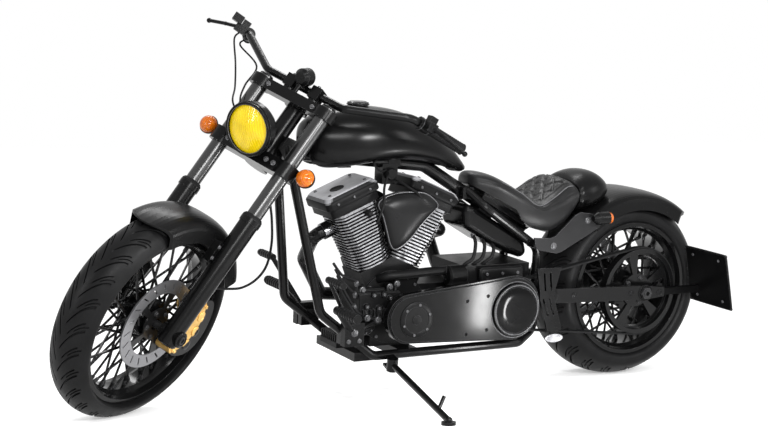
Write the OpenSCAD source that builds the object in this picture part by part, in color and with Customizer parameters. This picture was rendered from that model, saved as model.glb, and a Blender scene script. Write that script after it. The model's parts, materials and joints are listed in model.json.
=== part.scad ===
// Low custom cruiser motorcycle with a V-twin engine, parked on its side stand.
// Millimetres. +X is forward, +Y is the rider's left, +Z is up and the floor is Z = 0.
// Most modules are drawn for the upright machine: X from the rear axle, Z from its own ground line.

/* [Stance] */
// Distance between the axles with the bars straight
wheel_base = 1780; // [1650:5:1900]
// Steering head angle from vertical in degrees
rake = 36.5; // [30:0.5:42]
// Fork leg line ahead of the steering axis
fork_offset = 51; // [40:1:65]
// Lean onto the side stand in degrees
lean = 6; // [3:0.5:10]
// Bars turned left against the steering stop in degrees
steer_stop = 34; // [20:1:38]

/* [Front wheel] */
// Front tyre outer radius
front_tyre_r = 338; // [320:1:355]
// Front tyre section width
front_tyre_w = 146; // [120:1:160]
// Front tyre crown radius
front_crown_r = 73; // [60:1:80]
// Front rim bead seat radius
front_bead_r = 262; // [250:1:270]
// Front rim width between the flanges
front_bead_w = 100; // [80:1:112]
// Number of front spokes
front_spokes = 52; // [40:4:60]

/* [Rear wheel] */
// Rear tyre outer radius
rear_tyre_r = 321; // [305:1:335]
// Rear tyre section width
rear_tyre_w = 238; // [200:1:242]
// Rear tyre crown radius
rear_crown_r = 165; // [140:1:180]
// Rear rim bead seat radius
rear_bead_r = 223; // [215:1:232]
// Rear rim width between the flanges
rear_bead_w = 206; // [170:1:212]
// Number of rear spokes
rear_spokes = 52; // [40:4:60]

/* [Wheel details] */
// Tyre wall thickness
tyre_wall = 12; // [8:1:16]
// Rim flange height above the bead seat
rim_flange = 9; // [6:1:12]
// Spoke radius
spoke_r = 4.2; // [3:0.1:5]
// Axle radius
axle_r = 12.5; // [10:0.5:15]
// Bore radius through the hollow axles
axle_bore_r = 8; // [5:0.5:9]
// Brake disc radius
disc_r = 146; // [130:1:155]
// Brake disc thickness
disc_t = 5; // [4:0.5:7]

/* [Fork] */
// Half the distance between the fork legs
leg_y = 126; // [118:1:135]
// Fork tube radius
tube_r = 24.5; // [20:0.5:27]
// Fork slider radius
slider_r = 31; // [28:0.5:34]
// Top of the sliders above the front axle
slider_top = 416; // [380:1:440]
// Middle of the lower yoke above the front axle
lower_yoke = 593; // [570:1:610]
// Middle of the upper yoke above the front axle
upper_yoke = 804; // [780:1:820]
// Lower yoke thickness
lower_yoke_t = 46; // [36:1:56]
// Upper yoke thickness
upper_yoke_t = 34; // [26:1:40]
// Steering stem radius
stem_r = 15; // [12:0.5:18]
// Headlamp radius
lamp_r = 82; // [70:1:90]
// Front signal ball radius
signal_r = 28; // [22:1:32]

/* [Handlebar] */
// Handlebar tube radius
bar_r = 12.7; // [11:0.1:16]
// Half distance between the bar clamps
clamp_y = 50; // [40:1:60]
// Height of the bar above the upper yoke face
bar_rise = 34; // [28:1:45]
// Half width of the straight middle of the bar
bar_mid_y = 152; // [140:1:165]
// Half width at the outer bends
bar_bend_y = 334; // [310:1:350]
// Half width at the bar ends
bar_end_y = 446; // [420:1:470]
// Rise of the outer bends above the middle of the bar
bar_bend_up = 92; // [70:1:120]
// Pull back from the outer bends to the bar ends
bar_pull = 172; // [140:1:200]
// Grip length
grip_len = 128; // [110:1:140]
// Grip radius
grip_r = 17; // [15:0.5:20]

/* [Engine] */
// Crankshaft centre ahead of the rear axle
crank_x = 938; // [925:1:950]
// Crankshaft centre height
crank_z = 310; // [300:1:318]
// Half the angle between the cylinders
vee = 22.5; // [20:0.5:25]
// Cylinder base above the crank centre
deck = 150; // [140:1:160]
// Rocker box base above the crank centre
head_top = 352; // [340:1:360]
// Number of fins on each cylinder
fins = 18; // [14:1:20]
// Cylinder half width across the machine
fin_y = 70; // [64:1:74]
// Rocker box length
rocker_l = 196; // [180:1:205]
// Rocker box height
rocker_h = 68; // [56:1:74]
// Clutch and front pulley centre ahead of the rear axle
clutch_x = 541; // [530:1:552]
// Clutch and front pulley centre height
clutch_z = 300; // [290:1:308]
// Front pulley radius
pulley_front_r = 72; // [64:1:80]
// Rear pulley radius
pulley_rear_r = 149; // [138:1:156]
// Middle of the drive belt from the centre plane
belt_y = 144; // [140:1:148]
// Drive belt width
belt_w = 24; // [18:1:28]
// Inner face of the primary cover from the centre plane
primary_y = 163; // [160:1:168]
// Primary cover thickness
primary_t = 33; // [28:1:38]

/* [Frame] */
// Frame tube radius
frame_r = 15; // [12:0.5:17]
// Backbone tube radius
spine_r = 22; // [18:0.5:24]
// Lower rail height
rail_z = 170; // [162:1:178]
// Lower rail half spacing
rail_y = 133; // [128:1:138]
// Swing arm bar half height
arm_h = 24; // [20:1:28]
// Swing arm bar inner face from the centre plane
arm_y = 168; // [165:1:172]
// Swing arm bar thickness
arm_t = 22; // [16:1:26]

/* [Body] */
// Tank half width
tank_w = 128; // [110:1:140]
// Top of the tank
tank_top = 955; // [940:1:970]
// Seat half width
seat_w = 140; // [125:1:150]
// Rear mudguard half width
guard_y = 142; // [138:1:146]
// Gap from the rear tyre to the mudguard
guard_gap = 20; // [16:1:26]
// Mudguard sheet thickness
guard_t = 5; // [3:0.5:6]
// Number plate width
plate_w = 212; // [190:1:230]
// Number plate height
plate_h = 196; // [170:1:210]

/* [Side stand] */
// Stand hinge ahead of the rear axle
stand_x = 985; // [960:5:1000]
// Stand hinge from the centre plane
stand_y = 176; // [172:1:182]
// Stand foot out from the hinge
stand_reach = 410; // [360:5:430]
// Stand foot ahead of the hinge
stand_ahead = 42; // [0:2:80]
// Stand leg radius
stand_r = 10; // [8:0.5:12]

/* [Fits] */
// Radial clearance of turning pins
run_fit = 0.08; // [0.03:0.01:0.1]
// Radial clearance of clamped tubes
clamp_fit = 0.15; // [0.1:0.05:0.3]
// Side clearance between moving faces
side_gap = 0.6; // [0.4:0.1:1]

/* [Hidden] */
$fn = 48;
head_r = 30;
foot_h = 10;
foot_r = 22;
pin_r = 8;
eye_r = 18;
eye_h = 24;
ear_t = 8;
flat_w = 2 * fin_y;

// Small vector helpers
function unit(v) = v / norm(v);
function rot_x(p, a) = [p[0], p[1] * cos(a) - p[2] * sin(a), p[1] * sin(a) + p[2] * cos(a)];
function rot_y(p, a) = [p[0] * cos(a) + p[2] * sin(a), p[1], p[2] * cos(a) - p[0] * sin(a)];
function rot_z(p, a) = [p[0] * cos(a) - p[1] * sin(a), p[0] * sin(a) + p[1] * cos(a), p[2]];

// The fork frame has its origin on the steering axis, level with the front axle
fork_foot = [wheel_base, 0, front_tyre_r] - rot_y([fork_offset, 0, 0], -rake);
function fork_dir(p) = rot_y(rot_z(p, steer_stop), -rake);
function fork_pt(p) = fork_foot + fork_dir(p);

// Lowest point of a leaning tyre with a round crown
function low_dir(n) = unit([n[2] * n[0], n[2] * n[1], n[2] * n[2] - 1]);
function low_pt(c, n, r, k) = c + (r - k) * low_dir(n) - [0, 0, k];
front_c = rot_x(fork_pt([fork_offset, 0, 0]), -lean);
front_n = rot_x(fork_dir([0, 1, 0]), -lean);
front_low = low_pt(front_c, front_n, front_tyre_r, front_crown_r);
rear_low = low_pt(rot_x([0, 0, rear_tyre_r], -lean), rot_x([0, 1, 0], -lean), rear_tyre_r, rear_crown_r);

// The turned front wheel lets the nose down a little, so the machine is pitched to put both tyres down
pitch = atan2(front_low[2] - rear_low[2], front_low[0] - rear_low[0]);
lift = -rot_y(rear_low, pitch)[2];
function tip(p) = rot_y(rot_x(p, -lean), pitch) + [0, 0, lift];

// Side stand hinge and foot, then the box of the whole machine for the origin
stand_p0 = tip([stand_x, stand_y, rail_z - 22]);
foot_p0 = [stand_p0[0] + stand_ahead, stand_p0[1] + stand_reach, 0];
nose_n = rot_y(front_n, pitch);
nose_c = rot_y(front_c, pitch);
nose_x = nose_c[0] + (front_tyre_r - front_crown_r) * sqrt(1 - nose_n[0] * nose_n[0]) + front_crown_r;
function left(p) = [p[0], -p[1], p[2]];
grip_cap = 4;
bar_x = fork_offset - 23;
bar_z = upper_yoke + upper_yoke_t / 2 + bar_rise;
bar_bend = [bar_x - 66, bar_bend_y, bar_z + bar_bend_up];
bar_end = bar_bend + [-bar_pull, bar_end_y - bar_bend_y, 31];
bar_in = unit(bar_bend - bar_end);
grip_n = rot_y(rot_x(fork_dir(left(bar_in)), -lean), pitch);
right_y = tip(fork_pt(left(bar_end - grip_cap * bar_in)))[1] - grip_r * sqrt(1 - grip_n[1] * grip_n[1]);
tail_x = tip([0, 0, rear_tyre_r])[0] - rear_tyre_r;
origin = [(nose_x + tail_x) / 2, (foot_p0[1] + foot_r + right_y) / 2, 0];
stand_p = stand_p0 - origin;
foot_p = foot_p0 - origin;
stand_leg = unit(foot_p + [0, 0, foot_h + 3] - stand_p);
stand_back = unit(tip([-1, 0.1, 0.02]) - tip([0, 0, 0]));
stand_axis = unit(cross(stand_leg, stand_back));

// Placing modules
module upright() translate([0, 0, lift] - origin) rotate([0, pitch, 0]) rotate([-lean, 0, 0]) children();
module fork() upright() translate(fork_foot) rotate([0, -rake, 0]) rotate([0, 0, steer_stop]) children();
module to_y() rotate([-90, 0, 0]) children();
module to_x() rotate([0, 90, 0]) children();
module mirror_y() {
  children();
  mirror([0, 1, 0]) children();
}
module along(p, v) translate(p) rotate([0, acos(v[2] / norm(v)), atan2(v[1], v[0])]) children();
module rod(p, q, r) along(p, q - p) cylinder(h = norm(q - p), r = r);
module front_wheel() fork() translate([fork_offset, 0, 0]) to_y() children();
module rear_wheel() upright() translate([0, 0, rear_tyre_r]) to_y() children();
module cylinder_at(side) upright() translate([crank_x, 0, crank_z]) rotate([0, side * vee, 0]) children();
function cylinder_pt(side, p) = [crank_x, 0, crank_z] + rot_y(p, side * vee);
module plate_y(y, t) translate([0, y + t, 0]) rotate([90, 0, 0]) linear_extrude(t) children();

// A round tube swept through a list of points with one bend radius, n sides
function corner(p, i) = acos(unit(p[i - 1] - p[i]) * unit(p[i + 1] - p[i]));
function bend_pts(p, i, b, m) = let (
  u = unit(p[i - 1] - p[i]), h = corner(p, i) / 2,
  c = p[i] + unit(u + unit(p[i + 1] - p[i])) * b / sin(h),
  e = unit(p[i] + u * b / tan(h) - c))
  [for (k = [0 : m]) let (t = (180 - 2 * h) * k / m)
    [c + b * (e * cos(t) - u * sin(t)), -e * sin(t) - u * cos(t)]];
function tube_path(p, b, m) = let (n = len(p) - 1) concat([[p[0], unit(p[1] - p[0])]],
  [for (i = [1 : n - 1]) each bend_pts(p, i, b, m)], [[p[n], unit(p[n] - p[n - 1])]]);
function tube_ring(q, r, n, side) = let (x = unit(cross(side, q[1])), y = cross(q[1], x))
  [for (k = [0 : n - 1]) q[0] + r * (x * cos(360 * k / n) + y * sin(360 * k / n))];
module bent_tube(p, r, b, n, side) {
  path = tube_path(p, b, 5);
  m = len(path) - 1;
  pts = [for (q = path) each tube_ring(q, r, n, side)];
  polyhedron(pts, skin_faces(m, n));
}
function skin_faces(m, n) = concat(
  [for (j = [0 : m - 1], k = [0 : n - 1]) let (a = j * n + k, b = j * n + (k + 1) % n) each
    [[b, a, b + n], [b + n, a, a + n]]],
  [[for (k = [0 : n - 1]) k]], [[for (k = [n - 1 : -1 : 0]) m * n + k]]);

// A skin through rounded sections along X
// Rows are [x, half width, low, middle, high, upper power, lower power]
function smooth(a, b, c, d, t) =
  0.5 * (2 * b + (c - a) * t + (2 * a - 5 * b + 4 * c - d) * t * t + (3 * b - a - 3 * c + d) * t * t * t);
function row_at(tab, u) = let (n = len(tab) - 1, i = min(floor(u), n - 1))
  smooth(tab[max(i - 1, 0)], tab[i], tab[i + 1], tab[min(i + 2, n)], u - i);
function pow_sign(v, e) = sign(v) * pow(abs(v), e);
function ring(s, n, bed) = [for (k = [0 : n - 1])
  let (a = 360 * (k + 0.5) / n, e = 2 / (sin(a) > 0 ? s[5] : s[6]),
       y = s[1] * pow_sign(cos(a), e),
       z = s[3] + (sin(a) > 0 ? s[4] - s[3] : s[3] - s[2]) * pow_sign(sin(a), e))
  [s[0], y, sin(a) > 0 ? z : max(z, min(bed(s[0], y), s[3]))]];
module skin(tab, steps, n, bed) {
  m = steps * (len(tab) - 1);
  polyhedron([for (j = [m : -1 : 0]) each ring(row_at(tab, j / steps), n, bed)], skin_faces(m, n));
}

// A closed smooth curve through flat points
function closed_curve(p, m) = let (n = len(p)) [for (i = [0 : n - 1], k = [0 : m - 1])
  smooth(p[(i + n - 1) % n], p[i], p[(i + 1) % n], p[(i + 2) % n], k / m)];

// Tyre section, half outline from the crown to the bead
function bend3(a, b, c, t) = a * (1 - t) * (1 - t) + 2 * b * t * (1 - t) + c * t * t;
function tyre_half(r, k, fall, shoulder, h, edge, seat, bead) = let (
  arc = acos(1 - fall * (r - edge) / k),
  p0 = [r - k + k * cos(arc), k * sin(arc)],
  p1 = [edge + shoulder * (p0[0] - edge), h],
  p2 = [p1[0] - (p1[0] - edge) * 0.35, h],
  p3 = [edge + (p2[0] - edge) * 0.25, h])
  concat([for (i = [0 : 11]) [r - k + k * cos(arc * i / 11), k * sin(arc * i / 11)]],
    [for (i = [1 : 4]) bend3(p0, p1, p2, i / 4)],
    [for (i = [1 : 4]) bend3(p2, p3, [edge, bead], i / 4)], [[seat, bead]]);
function flip(p) = [for (i = [len(p) - 1 : -1 : 0]) p[i]];
function other(p) = [for (q = p) [q[0], -q[1]]];
module tyre(r, k, fall, shoulder, w, seat, bead_w) {
  edge = seat + min(rim_flange + 1, (r - seat) / 3);
  wall = min(tyre_wall, (r - seat) / 4);
  out = tyre_half(r, k, fall, shoulder, w / 2, edge, seat, bead_w / 2);
  inn = tyre_half(r - wall, k - wall, fall, shoulder, w / 2 - wall, edge, seat, bead_w / 2 - wall);
  rotate_extrude($fn = 96)
    polygon(concat(flip(out), [for (i = [1 : len(out) - 1]) other(out)[i]],
      flip(other(inn)), [for (i = [1 : len(inn) - 1]) inn[i]]));
}
module rim(seat, bead_w) {
  h = bead_w / 2;
  half = [[seat - 12, h - 34], [seat - 12, h - 26], [seat, h - 18], [seat, h], [seat + rim_flange, h],
    [seat + rim_flange, h + 5], [seat - 4, h + 6], [seat - 10, h - 14], [seat - 20, h - 28]];
  rotate_extrude($fn = 96) polygon(concat(half, flip(other(half))));
}
// Crossing spokes lie on either side of the hub flange
lace = spoke_r + 1;
module spokes(n, hub, hub_y, out, out_y) {
  for (i = [0 : n - 1]) {
    s = i % 2 == 0 ? 1 : -1;
    k = i % 4 < 2 ? 1 : -1;
    turn = 62 * k;
    a = 360 * i / n;
    rod([hub * cos(a + turn), hub * sin(a + turn), s * (hub_y + lace * k)],
      [out * cos(a), out * sin(a), s * (out_y + lace * k)], spoke_r, $fn = 6);
  }
}
module hub(barrel, flange, flange_y, half) {
  cylinder(h = 2 * half, r = barrel, center = true);
  for (s = [-1, 1]) translate([0, 0, s * flange_y]) cylinder(h = 9, r = flange, center = true);
}
module wheel(seat, bead_w, n, barrel, flange, flange_y, half) {
  difference() {
    union() {
      rim(seat, bead_w);
      hub(barrel, flange, flange_y, half);
      spokes(n, flange - 6, flange_y, seat - 16, bead_w * 0.1);
    }
    cylinder(h = 2 * half + 2, r = axle_r + run_fit, center = true);
  }
}
// Round windows between a hub and a ring, n arms left standing
module windows(inner, outer, n, arm, t) {
  for (i = [0 : n - 1]) rotate(360 * i / n) rotate_extrude(angle = 360 / n - arm)
    translate([inner, -t]) square([outer - inner, 2 * t]);
}
disc_band = 42;
disc_slots = 20;
module disc(hub_r) {
  difference() {
    cylinder(h = disc_t, r = disc_r, center = true);
    windows(hub_r, disc_r - disc_band, 5, 16, disc_t);
    for (i = [0 : disc_slots - 1]) rotate(360 * i / disc_slots) translate([disc_r - disc_band / 2, 0, 0])
      rotate(25) cube([disc_band * 0.6, 5, disc_t + 2], center = true);
    cylinder(h = disc_t + 2, r = axle_r + 6, center = true);
  }
}

// Front wheel
front_hub = 56;
disc_y = front_hub + disc_t / 2;
module front_tyre() color("#202020") front_wheel()
  tyre(front_tyre_r, front_crown_r, 0.472, 0.46, front_tyre_w, front_bead_r, front_bead_w);
module front_rim() color("#101010") front_wheel()
  wheel(front_bead_r, front_bead_w, front_spokes, 34, 62, 36, front_hub);
module front_disc() color("#8c8c8c") front_wheel() translate([0, 0, disc_y]) disc(52);

// Rear wheel
rear_hub = belt_y - belt_w / 2 - 4;
module rear_tyre() color("#202020") rear_wheel()
  tyre(rear_tyre_r, rear_crown_r, 0.439, 0.78, rear_tyre_w, rear_bead_r, rear_bead_w);
module rear_rim() color("#101010") rear_wheel()
  wheel(rear_bead_r, rear_bead_w, rear_spokes, 40, 76, 84, rear_hub);
module rear_pulley() color("#181818") rear_wheel() translate([0, 0, rear_hub]) {
  difference() {
    cylinder(h = belt_w + 8, r = pulley_rear_r);
    translate([0, 0, 12]) cylinder(h = belt_w + 8, r = pulley_rear_r - 14);
    windows(58, pulley_rear_r - 24, 5, 18, 13);
    translate([0, 0, -1]) cylinder(h = belt_w + 10, r = axle_r + 6);
  }
}
module rear_disc() color("#8c8c8c") rear_wheel() translate([0, 0, -rear_hub - disc_t / 2]) disc(60);

// Fork
slider_foot = 30;
lug_x = fork_offset - slider_r - 16;
front_guard_y = front_tyre_w / 2 + guard_t + 6;
module fork_sliders() color("#0c0c0c") fork() mirror_y() difference() {
  union() {
    translate([fork_offset, leg_y, -slider_foot]) cylinder(h = slider_top + slider_foot, r = slider_r);
    translate([fork_offset, leg_y, slider_top - 18]) cylinder(h = 18, r = slider_r + 3);
    translate([fork_offset, leg_y - slider_r - 4, 0]) to_y() cylinder(h = 2 * slider_r + 10, r = axle_r * 2);
    translate([lug_x, leg_y - slider_r, 24]) cube([slider_r + 16, 22, 130]);
    translate([fork_offset - 40, front_guard_y, 236]) cube([80, leg_y - slider_r + 14 - front_guard_y, 70]);
  }
  translate([fork_offset, 0, 0]) to_y() cylinder(h = 2 * leg_y, r = axle_r + clamp_fit);
}
module fork_tubes() color("#3a3a3a") fork() mirror_y() translate([fork_offset, leg_y, slider_top])
  cylinder(h = upper_yoke + upper_yoke_t / 2 + 6 - slider_top, r = tube_r);
module yoke(t, end_r, back, front) {
  difference() {
    union() {
      mirror_y() translate([fork_offset, leg_y, -t / 2]) cylinder(h = t, r = end_r);
      translate([back, -leg_y, -t / 2]) cube([front - back, 2 * leg_y, t]);
      translate([0, 0, -t / 2]) cylinder(h = t, r = 40);
    }
    mirror_y() translate([fork_offset, leg_y, -t / 2 - 1]) cylinder(h = t + 2, r = tube_r + clamp_fit);
  }
}
module lower_yoke() color("#0c0c0c") fork() {
  translate([0, 0, lower_yoke]) yoke(lower_yoke_t, tube_r + 13, fork_offset - 34, fork_offset + 30);
  translate([0, 0, lower_yoke]) cylinder(h = upper_yoke - upper_yoke_t / 2 - lower_yoke, r = stem_r);
}
module upper_yoke() color("#0c0c0c") fork() translate([0, 0, upper_yoke])
  yoke(upper_yoke_t, tube_r + 12, fork_offset - 26, fork_offset + 24);
front_axle_y = leg_y + slider_r + 12;
module front_axle() color("#606060") fork() translate([fork_offset, 0, 0]) to_y() difference() {
  cylinder(h = 2 * front_axle_y, r = axle_r, center = true);
  cylinder(h = 2 * front_axle_y + 2, r = axle_bore_r, center = true);
}
function arch(h, crown, foot, n) = concat([[foot, h]],
  [for (i = [0 : n]) let (a = 180 * i / n) [crown[0] + (crown[1] - crown[0]) * pow(sin(a), 0.7),
    h * pow_sign(cos(a), 0.7)]], [[foot, -h]]);
module guard(h, inner, drop, foot, start, span) {
  out = arch(h, [inner - drop, inner + guard_t], foot, 20);
  inn = arch(h - guard_t, [inner - drop - guard_t, inner], foot, 20);
  rotate([0, 0, start]) rotate_extrude(angle = span, $fn = 96) polygon(concat(out, flip(inn)));
}
// What is cut away to round the end of a guard at an angle, the guard lies on the side given
module round_end(end, side, h, r) {
  round_r = 1.12 * h;
  rotate([0, 0, end + side * asin(round_r / r)]) difference() {
    translate([r / 2, side > 0 ? -r : 0, -h - 5]) cube([r, r, 2 * h + 10]);
    to_x() cylinder(h = 2 * r, r = round_r, $fn = 96);
  }
}
front_guard_in = front_tyre_r + 14;
module front_guard() color("#0a0a0a") front_wheel() difference() {
  guard(front_guard_y, front_guard_in, 46, front_tyre_r - 58, -130, 93);
  round_end(-37, -1, front_guard_y, front_guard_in);
}
// Calliper outline behind the slider lug, seen from the side
calliper_pts = [[0, 30], [0, 80], [0, 112], [-14, 140], [-40, 154], [-66, 148], [-92, 112], [-108, 64],
  [-106, 18], [-86, -20], [-52, -42], [-20, -50], [2, -42], [3, -26], [-1, 0]];
disc_gap = 10.2;
module front_calliper() color("#c9a227") fork() difference() {
  plate_y(disc_y - 13, leg_y - 4 - disc_y + 13) translate([lug_x - clamp_fit, 0])
    polygon(closed_curve(calliper_pts, 3));
  translate([fork_offset, disc_y, 0]) to_y() cylinder(h = disc_t + disc_gap, r = disc_r + 5, center = true);
  translate([fork_offset, 0, 0]) to_y() cylinder(h = disc_y, r = disc_r - disc_band);
  translate([lug_x - clamp_fit, leg_y - slider_r - 1, 10]) cube([40, 40, 150]);
}
lamp_at = [fork_offset + 112, 0, lower_yoke + 36];
module headlamp_at() fork() translate(lamp_at) rotate([0, rake, 0]) to_x() children();
module headlamp_shell() color("#0c0c0c") {
  difference() {
    headlamp_at() difference() {
      union() {
        translate([0, 0, -34]) cylinder(h = 34, r = lamp_r);
        translate([0, 0, -60]) cylinder(h = 26, r1 = lamp_r - 18, r2 = lamp_r);
        translate([0, 0, -100]) cylinder(h = 40, r1 = 30, r2 = lamp_r - 18);
      }
      translate([0, 0, -12]) cylinder(h = 13, r = lamp_r - 8);
    }
    fork() translate([0, -leg_y, lower_yoke - lower_yoke_t / 2])
      cube([fork_offset + 31, 2 * leg_y, lower_yoke_t]);
  }
  fork() translate([fork_offset + 4, -20, lower_yoke + lower_yoke_t / 2]) cube([44, 40, 40]);
}
module headlamp_lens() color("#e8c81e") headlamp_at() translate([0, 0, -12]) intersection() {
  cylinder(h = 22, r = lamp_r - 8);
  translate([0, 0, -170]) sphere(r = 190, $fn = 160);
}
signal_at = [fork_offset + 10, leg_y + 86, lower_yoke + 12];
module front_signals() color("#0c0c0c") fork() mirror_y() {
  rod([signal_at[0] - 20, leg_y + tube_r + 13.1, signal_at[2]], signal_at - [20, 24, 0], 9);
  translate(signal_at - [10, 14, 0]) difference() {
    sphere(r = signal_r + 2);
    translate([0, 0, -50]) cube([60, 80, 100]);
    translate([0, -60, -50]) cube([60, 60, 100]);
  }
}
module front_signal_lenses() color("#e07a10") fork() mirror_y()
  translate(signal_at - [10, 14, 0]) difference() {
    sphere(r = signal_r);
    translate([-80, -60, -60]) cube([80, 120, 120]);
  }

// Handlebar
bar_mid = [bar_x, bar_mid_y, bar_z];
bar_path = [left(bar_end), left(bar_bend), left(bar_mid), bar_mid, bar_bend, bar_end];
module handlebar() color("#101010") fork() bent_tube(bar_path, bar_r, 55, 20, [0, 0, 1]);
module bar_clamps() color("#0c0c0c") fork() mirror_y() difference() {
  union() {
    translate([bar_x, clamp_y, bar_z - bar_rise]) cylinder(h = bar_rise, r = 17);
    translate([bar_x - 21, clamp_y - 18, bar_z - 20]) cube([42, 36, 40]);
  }
  translate([bar_x, 0, bar_z]) to_y() cylinder(h = 2 * clamp_y, r = bar_r + clamp_fit);
}
module bar_end_at() along(bar_end, bar_in) children();
module grips() color("#161616") fork() mirror_y() bar_end_at() difference() {
  translate([0, 0, -grip_cap]) cylinder(h = grip_len + grip_cap, r = grip_r);
  cylinder(h = grip_len + 1, r = bar_r + clamp_fit);
}
perch_z = grip_len + 6;
lever_pts = [[0, 46, perch_z + 20], [12, 84, perch_z - 14], [32, 136, perch_z - 68]];
module lever_set() {
  difference() {
    union() {
      translate([0, 0, perch_z]) cylinder(h = 46, r = 21);
      translate([-14, 0, perch_z + 6]) cube([28, 52, 30]);
      translate([-34, 12, perch_z + 8]) cube([34, 26, 26]);
    }
    translate([0, 0, perch_z - 1]) cylinder(h = 48, r = bar_r + clamp_fit);
    translate([-35, 25, perch_z + 21]) to_x() cylinder(h = 18, r = 4.2);
  }
  for (i = [0 : len(lever_pts) - 2]) rod(lever_pts[i], lever_pts[i + 1], 6);
  translate(lever_pts[1]) sphere(r = 7);
  translate(lever_pts[2]) sphere(r = 8.5);
}
module bar_controls() color("#0c0c0c") fork() {
  mirror_y() bar_end_at() lever_set();
  mirror([0, 1, 0]) bar_end_at() translate([-36, 40, perch_z + 6]) cube([26, 34, 58]);
}
module gauge() color("#0c0c0c") fork() {
  translate([bar_x + 36, 0, bar_z - bar_rise]) cylinder(h = bar_rise + 6, r = 7);
  translate([bar_x + 36, 0, bar_z + 24]) rotate([0, -58, 0]) {
    cylinder(h = 30, r = 28, center = true);
    translate([0, 0, -26]) cylinder(h = 12, r1 = 18, r2 = 28);
  }
}
function bar_pt(p) = bar_end + rot_z(rot_y(p, acos(bar_in[2])), atan2(bar_in[1], bar_in[0]));
hose_y = front_tyre_w / 2 + 13;
hose_top = lower_yoke - lower_yoke_t / 2 - 0.2;
cable_low = lower_yoke + lower_yoke_t / 2 + 0.2;
brake_hose = [[lug_x - 52, hose_y, 154.5], [lug_x - 70, hose_y, 186], [-200, hose_y + 2, 240],
  [-262, hose_y + 2, 350], [-190, hose_y + 2, 432], [-60, 92, 500], [fork_offset - 26, 95, 530],
  [fork_offset - 26, 95, hose_top]];
brake_line = [left(bar_pt([14.4, 30, perch_z + 21])), left(bar_pt([56, 30, perch_z + 21])), [18, -272, 826],
  [44, -204, 752], [102, -142, 694], [68, -76, 652], [68, -76, cable_low]];
throttle_cable = [left(bar_pt([21.4, 0, perch_z + 36])), left(bar_pt([60, 2, perch_z + 40])), [9, -206, 852],
  [60, -166, 768], [104, -118, 704], [72, -44, 660], [72, -44, cable_low]];
module brake_hoses() color("#141414") fork() {
  bent_tube(brake_hose, 4, 18, 8, [0, 1, 0]);
  bent_tube(brake_line, 3, 16, 6, [0.3, 1, 0.2]);
  bent_tube(throttle_cable, 3, 16, 6, [0.3, 1, 0.2]);
}

// Frame
rear_pivot = [400, 0, 335];
neck_y = spine_r + 0.6;
neck_mid = 680;
pan_front = [690, 0, 694];
pan_back = [400, 0, 530];
spine_path = [fork_foot + rot_y([-19, 0, neck_mid], -rake), fork_foot + rot_y([-80, 0, neck_mid], -rake),
  [1170, 0, 798], [800, 0, 760], pan_front, pan_back];
side_path = [[1314, neck_y + frame_r, 836], [1225, 130, 320], [1035, rail_y, rail_z], [480, rail_y, rail_z],
  [400, 100, 206], [400, 100, 484], [606, 100, 622], [650, neck_y + frame_r, 676]];
pan_tilt = atan2(pan_front[2] - pan_back[2], pan_front[0] - pan_back[0]);
pan_up = spine_r + 4;
module pan_at() translate(pan_back) rotate([0, -pan_tilt, 0]) children();
function pan_z(x) = pan_back[2] + (x - pan_back[0]) * tan(pan_tilt) + pan_up / cos(pan_tilt);
neck_low = lower_yoke + lower_yoke_t / 2 + side_gap;
neck_high = upper_yoke - upper_yoke_t / 2 - side_gap;
tunnel_z = 838;
module frame_spine() color("#0c0c0c") upright() {
  difference() {
    union() {
      bent_tube(spine_path, spine_r, 60, 20, [0, 1, 0]);
      translate(fork_foot) rotate([0, -rake, 0]) translate([0, 0, neck_low])
        cylinder(h = neck_high - neck_low, r = head_r);
      plate_y(-neck_y, 2 * neck_y) polygon([[1358, 806], [1318, 866], [1262, 842], [1246, 800], [1300, 776]]);
      translate([630, -neck_y, 645]) cube([50, 2 * neck_y, 42]);
      pan_at() translate([40, -58, 5]) cube([196, 116, pan_up - 5]);
      pan_at() translate([150, -30, -pan_up - 8]) cube([60, 60, pan_up]);
      for (x = [900, 1080]) translate([x, -24, 760]) cube([44, 48, tunnel_z - 760]);
      translate([910, -26, 704]) cube([56, 52, 66]);
    }
    translate(fork_foot) rotate([0, -rake, 0]) cylinder(h = upper_yoke, r = stem_r + run_fit);
  }
}
module side_frame() {
  difference() {
    union() {
      bent_tube(side_path, frame_r, 45, 16, [0, 1, 0]);
      plate_y(neck_y + 0.1, 26) polygon([[1344, 826], [1316, 862], [1284, 836], [1290, 786], [1322, 786]]);
      translate([630, neck_y + 0.1, 650]) cube([40, 24, 37]);
      translate([400, 76, rear_pivot[2]]) to_y() cylinder(h = 44, r = 36);
      for (x = [870, 1030]) translate([x, 0.2, rail_z - 14]) cube([70, rail_y, 28]);
      rod([430, 98, 502], [430, guard_y, 502], 14);
      translate([1098, 126, 222]) cube([64, 28, 52]);
    }
    translate([400, 0, rear_pivot[2]]) to_y() cylinder(h = 200, r = spine_r + clamp_fit);
    translate(fork_foot) rotate([0, -rake, 0]) cylinder(h = upper_yoke, r = head_r + clamp_fit);
  }
}
module stand_ears() along(stand_p, stand_axis) {
  for (k = [-1, 1]) translate([0, 0, k * (eye_h / 2 + side_gap + ear_t / 2)]) {
    cylinder(h = ear_t, r = eye_r, center = true);
    translate([-23, 0, 0]) cube([46, 2 * eye_r - 6, ear_t], center = true);
  }
  cylinder(h = eye_h + 2 * ear_t, r = pin_r, center = true);
}
module frame_left() color("#0c0c0c") {
  upright() side_frame();
  stand_ears();
}
module frame_right() color("#0c0c0c") upright() mirror([0, 1, 0]) side_frame();
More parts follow.
